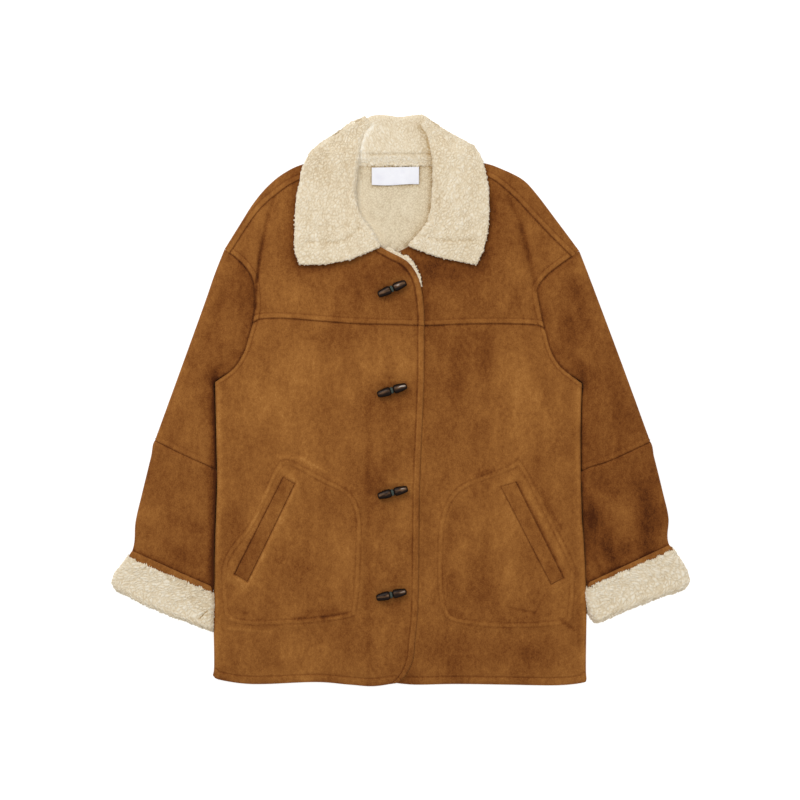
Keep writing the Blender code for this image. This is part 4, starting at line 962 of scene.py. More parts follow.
def shoulder(side):
    """The back's cloth round a shoulder's fold and on to the forward seam."""
    steps = graded(240, 1.6, 0.9, 12)
    fold, seam = curve(SHOULDER[side])(steps), curve(FORWARD_SEAM[side])(steps)
    reach = np.linalg.norm(seam - fold, axis=1)
    radius = WALL / 2 + ROLL
    turn = np.radians(np.linspace(-90, 90, 15))
    start = np.minimum(radius, reach * 0.9)
    out = [np.minimum(radius * (1 - math.cos(angle)), reach * 0.9) for angle in turn]
    out += [start + (reach - start) * share for share in np.linspace(0, 1, 24)[1:]]
    places = fold + direction(fold, seam) * np.array(out)[..., None]
    level = np.concatenate([np.sin(turn), np.ones(23)])[:, None]
    x, y = places[..., 0], places[..., 1]
    d = line_distance(x, y, seam[::5])
    above = ease(level)
    z = radius + level * np.where(level > 0, front_height(x, y) + WALL / 2 - radius, radius)
    z += undulation(x, y, 12) * above + above * seam_strip(d)
    return skirted(with_height(places, z), above * seam_shade(d) + nap_patches_and_shade(x, y), FRONT_LEVEL - WALL / 2,
                   sides=(False, True, False, False))


def back(lining):
    made = piece("back_suede", [underside(), shoulder("left"), shoulder("right")], SUEDE, replaces=["back"])


# Sleeves and cuffs


def ring(first, last, level, radius, crown, bow=None, low=14, high=60, turns=9, toe=0.0):
    """A closed line round a flattened tube: along the floor, round the outer edge, back on top, round the inner edge.

    toe is how far the inner edge reaches out along the floor; low, high and turns are its points on the floor, on
    top and round each edge.
    """
    across = direction(first, last)
    turn = np.radians(np.linspace(-90, 90, turns + 2)[1:-1])

    def flat(share, height):
        return with_height(first + (last - first) * share[:, None], np.full(len(share), height))

    def rounded(end, sign, angles, out):
        return with_height(end + sign * across * (radius * np.cos(angles) + out)[:, None],
                           level + radius * np.sin(angles))

    toes = toe * ease((-np.sin(turn) - 0.35) / 0.4)
    top_share = shares(high)[::-1]
    top = flat(top_share, level + radius)
    top[:, 2] += crown * np.sin(math.pi * top_share) ** 0.7
    line = np.vstack([flat(shares(low), level - radius), rounded(last, 1, turn, 0), top,
                      rounded(first, -1, turn[::-1], toes[::-1])])
    if bow is not None:
        line[:, :2] += bow(np.clip((line[:, :2] - first) @ across / np.linalg.norm(last - first), 0, 1))
    return line


def smooth_rows(rows, step):
    """More rows between the given ones, on smooth lines through them."""
    rows = np.array(rows)
    run = np.concatenate([[0], np.cumsum(np.linalg.norm(np.diff(rows, axis=0), axis=-1).mean(axis=1))])
    spots = run[-1] * graded(run[-1], step, 1.0, 8)
    tangents = np.gradient(rows, run, axis=0)
    k = np.clip(np.searchsorted(run, spots, side="right") - 1, 0, len(rows) - 2)
    gap = (run[k + 1] - run[k])[:, None, None]
    t = ((spots - run[k])[:, None, None]) / gap
    a, b, ta, tb = rows[k], rows[k + 1], tangents[k] * gap, tangents[k + 1] * gap
    return a * (2 * t**3 - 3 * t**2 + 1) + ta * (t**3 - 2 * t**2 + t) + b * (3 * t**2 - 2 * t**3) + tb * (t**3 - t**2)


def seam_bow(points, weight=1.0):
    """A seam's bow off its chord, for ring."""
    return lambda t: weight * off_chord(curve(points), t)


def armhole(side):
    """The armhole's line up to the shoulder."""
    low, high = curve(ARMHOLE_LOW[side])(shares(3)), curve(ARMHOLE_HIGH[side])(shares(7))
    return np.vstack([low, high[1:], SHOULDER[side][:1]])


def cuff_centres(side, along):
    """The middles of a cuff's inner and outer rounding, by the place along it from 0 at its fold to 1 at its top."""
    a, b = curve(CUFF_INNER[side])(along), curve(CUFF_OUTER[side])(along)
    out = direction(a, b)
    return a + out * CUFF_LEVEL, b - out * (CUFF_LEVEL + 9 * (1 - min(along / 0.17, 1.0)) ** 2)


def cuff_hem_centres(side):
    a, b = np.array(CUFF_HEM[side], float)
    reach = direction(a, b) * CUFF_LEVEL
    return a + reach, b - reach


def cuff_bow(side, along):
    return lambda t: np.stack([0 * t, -CUFF_BOW[side] * np.sin(math.pi * t) * (1 - along) ** 2], axis=-1)


def sleeve_relief(x, y, side, part):
    """Seams and folds on a sleeve's upper side, with painted shade in them, along the armhole, above the cuff's hem
    and beside the body.
    """
    d = line_distance(x, y, curve(ELBOW[side])(shares(24)))
    height = -creases(x, y, SLEEVE_FOLDS[f"{part}_{side}"])
    # painted shade in the folds
    shade = 0.2 * height + nap_patches_and_shade(x, y)
    if part == "upper":
        arm = np.vstack([curve(ARMHOLE_LOW[side])(shares(16)), curve(ARMHOLE_HIGH[side])(shares(20))[1:]])
        to_arm = line_distance(x, y, arm)
        beyond = (x_at(y, arm) - x) * (-1 if side == "left" else 1) > 0
        height += 0.5 * seam_strip(d, 0.4) - np.where(beyond & (y > 28), 1.2 + 0.5 * to_arm, 1.2 * bell(to_arm, 1.8))
        # painted shadow along the armhole, where the body's edge lies over the sleeve
        shade += 0.45 * seam_shade(d) - 0.4 * bell(to_arm, 1.8) - 0.26 * bell(to_arm, 12)
    else:
        height -= 0.8 * bell(d, 1.3)
        # painted shade in the elbow seam and a painted shadow line above the cuff's hem
        shade -= 0.5 * bell(d, 1.3) + 0.7 * np.exp(-line_distance(x, y, CUFF_HEM[side]) / 3.0)
    # painted shadow on the sleeve beside the body, stronger on the left
    dark = 1.5 if side == "left" else 0.55
    beside_body = np.exp(-abs(x - x_at(y, SIDE[side])) / 7.0) * ease((66 - y) / 60)
    return height, shade - np.where(y < 60, dark * beside_body, 0)


def sleeve_piece(side, part, rows, open_above=math.inf):
    """A sleeve's part from its rings, with its inner edge left open above that y, where the armhole covers it."""
    points = smooth_rows(rows, 2.0)
    kept = np.ones((len(points) - 1, points.shape[1]), bool)
    kept[points[:-1, 0, 1] > open_above, -10:-4] = False
    facing = outward_normals(points, points.mean(axis=1, keepdims=True))
    x, y = points[..., 0], points[..., 1]
    height, shade = sleeve_relief(x, y, side, part)
    height = (height + undulation(x, y, 13)) * ease(facing[..., 2] * 1.5)
    points = floored(points + facing * height[..., None], 0.1)
    node = f"sleeve_{part}_{side}"
    return piece(f"{node}_suede", [(points, shade, True, kept)], SUEDE, replaces=[node])


def upper_sleeve(side, sign, elbow, beside):
    """The tube from the elbow seam up to the armhole and the shoulder."""
    radius = SLEEVE_LEVEL
    outline = curve(SLEEVE_OUTER[side][::-1])(shares(60))
    inner_ends = [elbow[0]] + [(x_at(y, SIDE[side]) + beside[0], y) for y in (-80, -50, -20, 5, 26)]
    rises = [elbow[-1][1] - elbow[0][1], 34, 22, 12, 5, 1]
    arm = armhole(side)
    opening = arm[1:-1] - (sign * 2.5, GAP / 2) - np.linspace(1, 0, len(arm) - 2)[:, None] * (0, 2.4)

    def outer_end(level_y):
        return np.array((x_at(level_y, outline), level_y))

    rows = []
    for number, (inner, rise) in enumerate(zip(np.array(inner_ends), rises)):
        outer = outer_end(inner[1] + rise)
        reach = direction(inner, outer) * radius
        bow = seam_bow(elbow, max(0.0, 1 - number * 0.34))
        rows.append(ring(inner + reach, outer - reach, radius, radius, SLEEVE_CROWN, bow, toe=TOE))
    last_rise = arm[-1][1] - arm[-2][1] - GAP
    for number, inner in enumerate(opening, start=1):
        outer = outer_end(inner[1] + last_rise * (number / len(opening)) ** 2)
        crown = SLEEVE_CROWN * min(1.0, max(0.0, (np.linalg.norm(outer - inner) - 8) / 62))
        outer = outer - direction(inner, outer) * radius
        rows.append(ring(inner, outer, radius, radius, crown, toe=TOE * (number == 1)))
    return sleeve_piece(side, "upper", rows, opening[0][1] + 12)


def lower_sleeve(side, sign, elbow, beside):
    """The tube from the elbow seam down into the cuff."""
    radius = SLEEVE_LEVEL
    ends = np.linspace(ELBOW[side][0][1], CUFF_HEM[side][0][1], 6)
    inner = curve([(x_at(y, SIDE[side]) + beside[0], y) for y in ends])
    outer = curve([*FOREARM_OUTER[side], np.subtract(CUFF_HEM[side][1], (sign * 2.5, -1))])
    rows = []
    for along, raised in ((-0.025, 0), (-0.006, 0), (0.003, 0), (0.15, 0), (0.3, 0), (0.5, 0.1), (0.75, 0.65),
                          (1.0, 1.0)):
        a, b = inner(along), outer(along)
        tucked = along < 0
        if tucked:
            a, b = a - (0, 160 * along), b - (sign * 50 * along, 160 * along)
        reach = direction(a, b) * (radius + 0.5 * tucked)
        crown = SLEEVE_CROWN + (CUFF_CROWN - SLEEVE_CROWN) * ease((along - 0.5) / 0.5)
        bow = seam_bow(elbow, 1 - along) if along < 1 else None
        level = radius + raised * CUFF_STEP
        rows.append(ring(a + reach, b - reach, level, radius - 0.7 * tucked, crown, bow, toe=TOE))
    rows.append(ring(*cuff_centres(side, 0.8), CUFF_LEVEL, radius, CUFF_CROWN, cuff_bow(side, 0.8)))
    return sleeve_piece(side, "lower", rows)


def sleeve(side):
    sign = -1 if side == "left" else 1
    beside = np.array((sign * 2 * GAP, 0))
    elbow = np.array(ELBOW[side], float) + beside
    elbow[0, 0] = x_at(elbow[0, 1], SIDE[side]) + beside[0]
    made = upper_sleeve(side, sign, elbow, beside)
    made = lower_sleeve(side, sign, elbow, beside)


def along_rows(points):
    """How far each point lies from its row's first column and from its column's first row, along the surface."""
    def lengths(axis):
        run = np.linalg.norm(np.diff(points, axis=axis), axis=-1).cumsum(axis=axis)
        return np.concatenate([np.zeros_like(run.take([0], axis=axis)), run], axis=axis)

    return lengths(1), lengths(0)


def cuff_fleece(side):
    """The cuff's pile, from inside the sleeve's end round the fold and up to its ragged top."""
    height = np.linalg.norm(np.subtract(CUFF_INNER[side][-1], CUFF_INNER[side][0]))
    inner_face = CUFF_STEP + WALL
    fold = inner_face / 2 / height
    profile = [(0.1 + fold, inner_face), (fold, inner_face), (0.3 * fold, inner_face - 0.3 * fold * height),
               (0.07 * fold, inner_face * 0.7), (0, inner_face / 2), (0.07 * fold, inner_face * 0.3),
               (0.3 * fold, 0.3 * fold * height), (fold, 0), (0.26, 0), (0.42, 0), (0.65, 0), (0.85, 0), (0.985, 0),
               (1.02, 0.6), (1.04, 2.6)]
    rows = [ring(*cuff_centres(side, share), CUFF_LEVEL, CUFF_LEVEL - depth, CUFF_CROWN, cuff_bow(side, share),
                 low=40, high=130, turns=17, toe=7.0) for share, depth in profile]
    points = smooth_rows(rows, 1.1)
    facing = outward_normals(points, (*np.mean(cuff_centres(side, 0.4), axis=0), CUFF_LEVEL))
    u, v = along_rows(points)
    pile = curls(u, v, 31 if side == "left" else 37, 1.1, 0.46)
    furthest = np.argmin(points[..., 1].mean(axis=1))
    near_fold = bell(v - v[furthest], 9)
    inwards = facing[..., 0] * (1 if side == "left" else -1)
    swell = 3.0 * (pile - 0.6) + 0.8 * noise(u / 22, v / 22, 41) + 1.6 * ease(inwards)
    swell += near_fold * 2.4 * tufts(u, v, 42)
    points = points + facing * (swell * ease((points[..., 2] + 0.2) / 2.2))[..., None]
    upwards = unit(np.array([*np.subtract(cuff_centres(side, 1.0)[0], cuff_centres(side, 0.6)[0]), 0.0]))
    points = points + upwards * (bell(v[-1:] - v, 5) * (5.6 * tufts(u, v * 0.4, 43) - 0.6))[..., None]
    shade = pile - 0.06 * near_fold + 0.1
    if side == "left":
        x, y = points[..., 0], points[..., 1]
        mark = segment_distance(x, y, *CUFF_MARK)[0]
        # a painted shade line in the pressed fold, and darker beyond it
        shade -= (0.75 * bell(mark, 1.0) + 0.14 * ease((x + y + 625) / 5)) * (facing[..., 2] > 0)
        points[..., 2] -= 1.6 * bell(mark, 1.6) * (facing[..., 2] > 0.3)
    return piece(f"cuff_{side}_fleece", [(floored(points), shade, True)], FLEECE)


def cuff(side):
    """A cuff's fleece and skin, and the suede hem above it."""
    rows = [ring(*cuff_centres(side, share), CUFF_LEVEL, CUFF_LEVEL - 2.5, CUFF_CROWN, cuff_bow(side, share),
                 low=14, high=40, turns=7) for share in (0.12, 0.4, 0.7, 0.97)]
    fleece_piece = cuff_fleece(side)
    made = piece(f"cuff_{side}_skin", [(smooth_rows(rows, 4), 0.0, True)], SUEDE, replaces=[f"cuff_{side}"])

    low, high = np.array(cuff_centres(side, 1.0)), np.array(cuff_hem_centres(side))
    profile = (-0.25, 3.4), (0.06, 3.5), (0.6, 3.5), (0.86, 3.2), (1, 2.2), (1.03, 1.0), (0.98, 0.1)
    rows = [ring(*(low + (high - low) * share), CUFF_LEVEL, SLEEVE_LEVEL + SEAT + wall, CUFF_CROWN, toe=5.0)
            for share, wall in profile]
    points = smooth_rows(rows, 1.2)
    shade = 0.2 * noise(points[..., 0] / 30, points[..., 1] / 30, 25) + 0.1
    made = piece(f"cuff_hem_{side}_suede", [(points, shade, True)], SUEDE, replaces=[f"cuff_hem_{side}"])


# Collar


def leaf_height(side, x, y):
    """The level of a leaf's middle over the cloth beneath it, and down to the floor behind the neck."""
    beneath = np.max([LAYER_HEIGHT[side](x + dx, y + dy) for dx in (-14, 0, 14) for dy in (-8, 8)], axis=0)
    level = np.maximum(beneath, FRONT_LEVEL + LOFT) + (WALL + COLLAR_WALL) / 2 + 3 * GAP
    return level + (LEAF_LOW - level) * ease((y - 374) / 26)


def neck_distance(side, point, out):
    """How far from the point the neck seam lies in the direction out, if it does."""
    line = np.vstack([curve(NECKLINE[side])(shares(4)), SHOULDER[side][-1:]])
    for a, b in zip(line, line[1:]):
        along, step = np.linalg.solve(np.column_stack([out, a - b]), a - point)
        if 0 <= step <= 1:
            return along
    return None


def leaf_section(side, station, spread):
    """A leaf's middle from the roll's inner side, up and over the roll, to near the outer edge."""
    table = np.array(LEAF[side], float)
    *ends, bow, turned = (float(np.interp(station, shares(len(table) - 1), column)) for column in table.T)
    roll, edge = np.array(ends).reshape(2, 2)
    half, radius = COLLAR_WALL / 2, LEAF_ROLL
    span = np.linalg.norm(edge - roll)
    out = (edge - roll) / span

    def place(distance):
        lift = bow * np.sin(math.pi * np.clip(distance / span, 0, 1)) ** 0.8
        return roll + out * np.asarray(distance)[..., None] + np.stack([0 * lift, lift], axis=-1)

    to_seam = neck_distance(side, roll, out)
    crest = max(float(leaf_height(side, *place(half + radius))), BAND_LEVEL + 1.0)
    if to_seam is not None and to_seam > half + radius + 4 and 260 < roll[1] < 350:
        crest = max(crest, STAND_LEVEL + 2 * radius)
        radius = (crest - STAND_LEVEL) / 2
    wall = np.linspace(5.6, crest - radius, 9)[:-1]
    angles = np.linspace(0, math.pi / 2, 10)
    distance = (half + radius) + (span - 2 * half - radius) * spread[1:]
    flat = place(distance)
    level = leaf_height(side, flat[:, 0], flat[:, 1])
    level = level + np.maximum(0.0, crest - level) * (1 - ease((distance - half - radius) / 34))
    fall = min(9.0, (span - half * turned - half - radius) * 0.55)
    down = ease((distance - (span - half * turned - fall)) / fall) * turned
    level = level - down * (level - half - 2 * GAP) * 0.9
    over = place(half + radius * (1 - np.cos(angles)))
    return np.vstack([with_height(np.repeat(place(half)[None], len(wall), axis=0), wall),
                      with_height(over, crest - radius + radius * np.sin(angles)), with_height(flat, level)])


EDGE_TURN = np.radians([72, 54, 36, 18, 0, -20, -42])


def thick_edge(middle, radius):
    """A wall's upper face that wraps round its first and last row and its last column, from the wall's middle."""
    rows, columns = middle.shape[:2]
    turn_c = np.concatenate([np.full(columns, math.pi / 2), EDGE_TURN])
    turn_r = np.concatenate([EDGE_TURN[::-1], np.full(rows, math.pi / 2), EDGE_TURN])
    at = np.ix_(np.clip(np.arange(len(turn_r)) - len(EDGE_TURN), 0, rows - 1),
                np.clip(np.arange(len(turn_c)), 0, columns - 1))
    along, across = (unit(np.gradient(middle, axis=axis))[at] for axis in (0, 1))
    sign = np.where(np.arange(len(turn_r)) < len(EDGE_TURN), -1.0, 1.0)[:, None, None]
    sin_c, sin_r = np.sin(turn_c)[None, :], np.sin(turn_r)[:, None]
    both = np.where((sin_c < 0) | (sin_r < 0), -abs(sin_c * sin_r), sin_c * sin_r)[..., None]
    return (middle[at] + upward_normals(middle)[at] * radius * both + across * (radius * np.cos(turn_c))[None, :, None]
            + along * sign * (radius * np.cos(turn_r))[:, None, None])


def fleecy(name, points, seed, nodes=(), size=1.0, swell=3.0, finish=FLEECE, seam=None, calm=1.0, fringe=0.0, tint=0.0,
           waves=0.0, core=0.0):
    """Covers a grid with curls, with a soft parting along the seam and loose locks at its turned edges.

    core is how far the wall's middle lies under the grid; the locks run across the whole turned edge.
    """
    facing = upward_normals(points)
    x, y = points[..., 0], points[..., 1]
    drop = points[..., 2].max() - points[..., 2]
    u, v = x + facing[..., 0] * drop, y + facing[..., 1] * drop
    pile = curls(u, v, seed, size)
    locks = tufts(x - core * facing[..., 0], y - core * facing[..., 1], seed + 12) if core else tufts(u, v, seed + 12)
    lift = swell * (pile - 0.6) + 0.8 * noise(u / 22, v / 22, seed + 11)
    lift += fringe * ease((0.8 - facing[..., 2]) / 0.6) * ease((facing[..., 2] + 0.6) / 0.5) * (locks - 0.6)
    shade = pile + tint
    if seam is not None:
        d = line_distance(x, y, seam)
        lift -= 1.2 * bell(d, 3.2)
        # painted shade along the seam's parting
        shade -= 0.144 * bell(d, 2.56)
    lift = lift * calm
    if waves:
        wave = noise(x / 19 + 3, y / 60, seed + 13) + 0.4 * noise(x / 9, y / 34, seed + 14)
        lift += waves * wave
        # painted light and shade following the broad waves
        shade += 0.08 * wave
    points = floored(points + facing * lift[..., None])
    return piece(name, [(points, shade)], finish, up=True, replaces=nodes)


def leaf(side):
    """A collar leaf's fleece and the hide beneath it."""
    half = COLLAR_WALL / 2
    spread = graded(120, FLEECE_STEP, 0.9, 4)
    middle = np.array([leaf_section(side, station, spread) for station in graded(238, FLEECE_STEP, 0.9, 4)])
    points = thick_edge(middle[3:-2], half)
    column = np.arange(points.shape[1])
    outwards = ease((column - 20) / 20) * ease((330 - points[..., 1]) / 60)
    # the left leaf's inner roll is painted lighter against its shadow
    fleece_piece = fleecy(f"collar_leaf_{side}_fleece", points, 51 if side == "left" else 57,
                          seam=curve(LEAF_SEAM[side])(shares(20)), fringe=1.2 + 1.8 * outwards, core=half, waves=1.0,
                          tint=0.2 * (1 - ease((column - 8) / 10)) if side == "left" else 0.03)
    middle = np.array([leaf_section(side, station, shares(30)) for station in shares(60)])[2:-4, :-4]
    hide = floored(middle - upward_normals(middle) * (half - 0.3), 0.3)
    made = piece(f"collar_leaf_{side}_hide", [(hide, 0.0)], SUEDE, up=True, replaces=[f"collar_leaf_{side}"])


def roll_shade(x, y):
    """The shade beside the leaves' rolls."""
    left, right = (line_distance(x, y, curve([row[:2] for row in LEAF[side]])(shares(40))) for side in LEAF)
    return 0.5 * np.exp(-right / 5) - 0.5 * np.exp(-left / 3.5)


def band_middle(count, fine):
    """The band's middle from the neck seam up to its fold and down behind, in sections from left to right."""
    radius, middle = (BAND_LEVEL - FALL_LEVEL) / 2, (BAND_LEVEL + FALL_LEVEL) / 2
    sides = [([row[:2] for row in LEAF[side] if row[1] > 345] + [LEAF[side][-1][2:4]], clear)
             for side, clear in (("left", -1.5), ("right", 1.5))]
    rows = []
    for t in shares(count):
        turn = float(np.interp(t, shares(8), BAND_TOP_Y)) - COLLAR_WALL / 2 - radius
        front_y = BAND_SEAM_Y + 1.5 + (turn - BAND_SEAM_Y - 1.5) * shares(fine - 1)
        angles = np.radians(np.linspace(80, -90, max(fine // 6, 6)))
        under = np.linspace(turn, FALL_Y + 2, max(fine // 3, 6))[1:]
        y = np.concatenate([front_y, turn + radius * np.cos(angles), under])
        level = np.concatenate([FALL_LEVEL + 2 * radius * ease((front_y - BAND_SEAM_Y - 1) / 22),
                                middle + radius * np.sin(angles), np.full(len(under), FALL_LEVEL)])
        left, right = (x_at(y, line) + clear for line, clear in sides)
        x = left + (right - left) * t
        fold_x = x[-len(under) - 1]
        x[-len(under):] = fold_x + (np.interp(t, (0, 1), FALL_X) - fold_x) * (turn - under) / (turn - FALL_Y)
        rows.append(np.column_stack([x, y, level]))
    return np.array(rows)


def band():
    """The collar's band behind the neck, with its fall."""
    half = COLLAR_WALL / 2
    points = thick_edge(band_middle(126, 76)[:, ::-1], half)
    facing = upward_normals(points, slice(-40, None))
    v, _ = along_rows(points)
    x, y = points[..., 0], points[..., 1]
    pile = curls(x, v, 63, 0.9)
    upper = ease(facing[..., 2] / 0.3)
    crease = upper * bell(y - 374.5, 2.0)
    roll = upper * bell(y - 366, 6)
    lift = (2.0 + 0.9 * roll) * (pile - 0.6) + 0.6 * noise(x / 22, v / 22, 64) - 0.9 * crease + 0.9 * roll
    lift += 3.0 * bell(y - 356, 3) * ease(facing[..., 2] + 0.6) * (tufts(x, v, 65) - 0.3)
    # painted shade in the crease, painted light on the lower roll, and the painted shade beside the leaves' rolls
    shade = pile - 0.14 * crease + 0.14 * roll + 0.03 - roll_shade(x, y)
    fleece_piece = piece("collar_band_fleece", [(floored(points + facing * lift[..., None]), shade)], FLEECE)
    middle = band_middle(30, 20)
    hide = middle - upward_normals(middle, slice(10)) * (half - 0.3)
    made = piece("collar_band_hide", [(hide, 0.0)], SUEDE, replaces=["collar_band"])


def neck_lining():
    """The back's inside, where the open neck shows it."""
    y = np.linspace(206, 357.8, 148)[:, None]
    below = 0.6 * (233 - y)
    left = np.where(y < 233, below - 28, x_at(y, NECKLINE["left"] + [(-88, 372)]) - 1.0)
    right = np.where(y < 233, below + 10, x_at(y, NECKLINE["right"] + [(74, 371)]) + 1.0)
    x = left + (right - left) * shares(150)
    y = y + 0 * x
    calm = ease(np.minimum(x - left, right - x) / 14) * 0.8 + 0.2
    # painted shadow under the band's seam and round the label
    under = np.exp(-(BAND_SEAM_Y - 2.5 - y) / 3.5) * 0.3
    under += 0.3 * np.exp(-np.maximum(-inside_distance(x, y, LABEL_OUTLINE), 0) / 2.6)
    return fleecy("neck_lining_fleece", with_height(np.stack([x, y], axis=-1), 4.9 + 0 * x), 71, size=0.72, swell=1.5,
                  finish=LINING, calm=calm, tint=-roll_shade(x, y) - under)


def front_pile():
    """The fleece that stands past the left front's neck edge."""
    line = curve(YOKE_EDGE)(np.linspace(0.40, 0.97, 110))
    along = np.gradient(line, axis=0)
    out = np.stack([along[:, 1], -along[:, 0]], axis=-1) / np.linalg.norm(along, axis=1)[:, None]
    share = shares(109)
    taper = ease(share / 0.12) * ease((1 - share) / 0.06)
    reach = (PILE_REACH - 3.2 * (1 - ease(share / 0.5))) * (0.8 + 0.5 * tufts(np.arange(110) * 1.1, 0 * share, 82))
    base = front_height(line[:, 0], line[:, 1]) + WALL / 2 + 0.9
    rows = [with_height(line + out * past, base + 3.4 * taper) for past in (-1.5, 0.0, 1.2, 2.4)]
    for angle in np.radians(np.linspace(90, -70, 14))[1:]:
        beyond = (2.4 + (reach - 2.4) * math.cos(angle)) * np.maximum(taper, 0.15)
        rows.append(with_height(line + out * beyond[:, None], base + (1.7 + 1.7 * math.sin(angle)) * taper))
    return fleecy("front_pile_fleece", np.array(rows), 81, nodes=["front_pile"], swell=1.8, size=0.9, fringe=3.0)


# Small pieces


def welt(side):
    """A slanted single welt, standing on its front."""
    upper_outer, upper_inner, lower_inner, lower_outer = np.array(WELT[side], float)
    up, across = graded(166, 2.0, 0.6, 4)[:, None, None], graded(20, 1.2, 0.5, 3)[:, None]
    outer, inner = lower_outer + (upper_outer - lower_outer) * up, lower_inner + (upper_inner - lower_inner) * up
    plan = outer + (inner - outer) * across
    x, y = plan[..., 0], plan[..., 1]
    d = inside_distance(x, y, WELT[side])
    seat = LAYER_HEIGHT[side](x, y) + WALL / 2
    z = seat + undulation(x, y, 11) + 0.9 - edge_roll(d, 1.2)
    # painted shade along the welt's rolled edge
    shade = 0.2 * noise(x / 38, y / 55, 26) - 0.25 * bell(d, 0.8) - 0.05
    grid = skirted(with_height(plan, z), shade, seat - 1.5, inset=0.2)
    made = piece(f"pocket_welt_{side}_suede", [grid], SUEDE, up=True, replaces=[f"pocket_welt_{side}"])


def pocket_bag(side):
    """The bag's cloth between back and front."""
    outline = np.array(POCKET[side], float)
    rows = []
    for y in np.linspace(outline[:, 1].min() + 8, outline[:, 1].max() - 14, 24):
        cut = [x0 + (x1 - x0) * (y - y0) / (y1 - y0)
               for (x0, y0), (x1, y1) in zip(outline, np.roll(outline, -1, axis=0)) if (y0 > y) != (y1 > y)]
        rows.append([(x, y, WALL + GAP + 0.6) for x in np.linspace(min(cut) + 4, max(cut) - 4, 20)])
    made = piece(f"pocket_bag_{side}_cloth", [(np.array(rows), 0.0)], SUEDE, up=True, replaces=[f"pocket_bag_{side}"])


def toggle(number, x, y, tilt):
    """A turned toggle and the thread round its waist."""
    z = FRONT_LEVEL + LAP_RISE + WALL / 2 + GAP + TOGGLE_RADIUS * TOGGLE_FLATNESS
    c, s = math.cos(math.radians(tilt)), math.sin(math.radians(tilt))

    def placed(along, across, up):
        along, across, up = np.broadcast_arrays(along, across, up)
        return np.stack([c * along - s * across + x, s * along + c * across + y, up + z], axis=-1)

    def circle(count):
        return np.linspace(0, 2 * math.pi, count, endpoint=False)

    turn = circle(40)
    along, radius = curve(TURNED)(shares(70)).T[..., None]
    wood = placed(along, radius * np.cos(turn), radius * np.sin(turn) * TOGGLE_FLATNESS)
    angle = np.degrees(turn)
    waist = ease((abs(along) - 2.6) / 1.6) * ease((23.4 - abs(along)) / 2.4)
    # painted highlight along each toggle's top and a painted gleam near its end; the grain noise makes the streak
    # uneven
    grain = 0.8 + 0.35 * noise(along / 5 + 9 * number, angle / 14, 91)
    shade = 0.5 * bell(angle - 84, 26) + 0.12 * bell(angle - 84, 60)
    shade = shade + 0.5 * bell(angle - 72, 15) * bell(along - 15, 6.5) * TOGGLE_GLEAM[number - 1]
    piece(f"toggle_{number}_wood", [(wood, waist * grain * shade, True)], WOOD, replaces=[f"toggle_{number}"])

    around, tube = np.append(circle(48), 0.0)[:, None], circle(8)
    radius = 4.6 + 0.5 * np.cos(tube)
    threads = [placed(offset + 0.5 * np.sin(tube) + 0.25 * np.sin(around), radius * np.cos(around),
                      radius * np.sin(around) * TOGGLE_FLATNESS) for offset in np.linspace(-1.8, 0.6, 4)]
    drop = -4.0 - 2.6 * shares(7)[:, None]
    threads += [placed(offset + 0.6 * np.cos(tube), 0.6 * np.sin(tube), drop) for offset in (-0.8, 0.8)]
    piece(f"toggle_{number}_thread", [(grid, 0.0, True) for grid in threads], THREAD,
          replaces=[f"toggle_thread_{number}"])


def label():
    """The bare label, loose along its lower edge."""
    x0, x1, y0, y1 = LABEL
    x, y = np.meshgrid(np.linspace(x0, x1, 60), np.linspace(y0, y1, 26))
    loose = 1 - (y - y0) / (y1 - y0)
    y = y + 1.2 * (x - x0) / (x1 - x0) + 0.7 * np.sin(x / 11) * loose
    loose = 1 - (y - y0) / (y1 - y0)
    z = WALL + 1.5 + 0.5 * np.sin(x / 9 + 1) * loose + 0.2 * np.sin(x / 4)
    grid = skirted(np.stack([x, y, z], axis=-1), 0.0, z - 0.7, inset=0.1)
    made = piece("label_satin", [grid], SATIN, up=True, replaces=["label"])


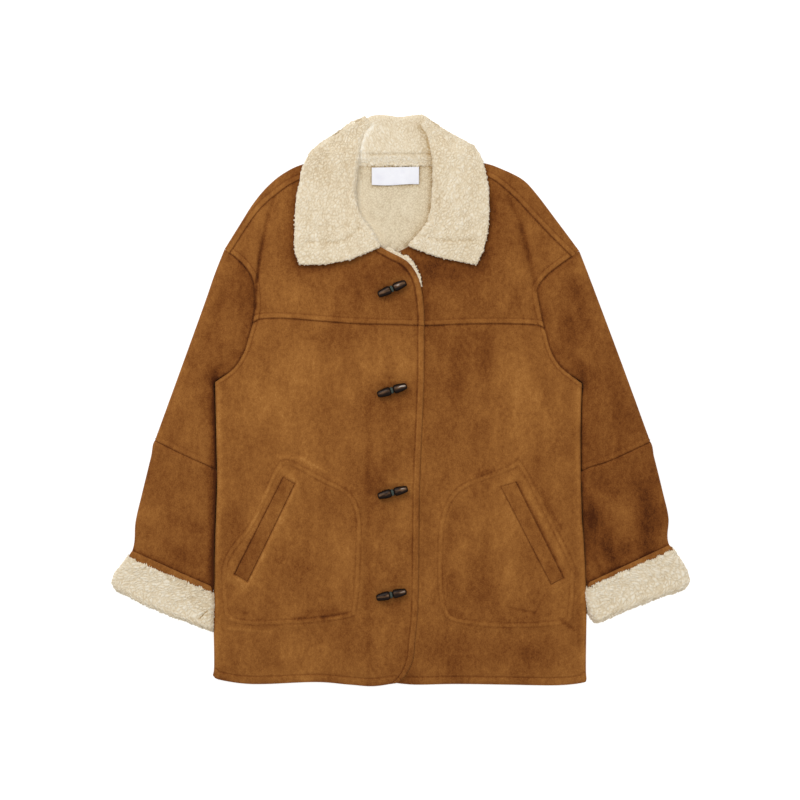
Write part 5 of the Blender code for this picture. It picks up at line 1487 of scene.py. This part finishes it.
for wing in SIDE:
    front(wing)
    yoke(wing)
    sleeve(wing)
    cuff(wing)
    leaf(wing)
    welt(wing)
    pocket_bag(wing)
back(neck_lining())
band()
for count, spot in enumerate(TOGGLES, start=1):
    toggle(count, *spot)
label()


# Stage


def stage():
    """Floor, light and the camera straight above."""
    mesh = bpy.data.meshes.new("floor")
    reach, level = 3, -0.0002
    mesh.from_pydata([(x, y, level) for x, y in ((-reach, -reach), (reach, -reach), (reach, reach), (-reach, reach))],
                     [], [(0, 1, 2, 3)])
    floor = bpy.data.objects.new("floor", mesh)
    bpy.context.collection.objects.link(floor)
    white = bpy.data.materials.new("floor_white")
    white.use_nodes = True
    shader = white.node_tree.nodes["Principled BSDF"]
    shader.inputs["Base Color"].default_value = (0.5, 0.5, 0.5, 1)
    shader.inputs["Emission Color"].default_value = (1, 1, 1, 1)
    shader.inputs["Emission Strength"].default_value = 0.75
    shader.inputs["Roughness"].default_value = 0.9
    shader.inputs["Specular IOR Level"].default_value = 0.1
    mesh.materials.append(white)

    world = bpy.data.worlds.new("studio")
    world.use_nodes = True
    world.node_tree.nodes["Background"].inputs["Color"].default_value = (1, 1, 1, 1)
    world.node_tree.nodes["Background"].inputs["Strength"].default_value = 0.62
    bpy.context.scene.world = world
    for name, place, size, power in (("key", (-0.9, 1.5, 1.9), 1.2, 26), ("fill", (1.6, -0.6, 2.4), 2.0, 10)):
        light = bpy.data.lights.new(name, "AREA")
        light.size, light.energy = size, power
        made = bpy.data.objects.new(name, light)
        made.location = place
        made.rotation_euler = (Vector((0, 0, 0)) - Vector(place)).to_track_quat("-Z", "Y").to_euler()
        bpy.context.collection.objects.link(made)

    camera = bpy.data.objects.new("camera", bpy.data.cameras.new("camera"))
    height, focus, sensor, picture = 4.0, 0.012, 36, 800
    camera.location = (-ORIGIN[0] * MM, 1.2 * MM, height)
    camera.data.sensor_width = sensor
    camera.data.lens = sensor * (height - focus) / (picture * PIXEL * MM)
    camera.data.clip_end = 20
    bpy.context.collection.objects.link(camera)
    bpy.context.scene.camera = camera
    bpy.context.scene.view_settings.view_transform = "Standard"


stage()
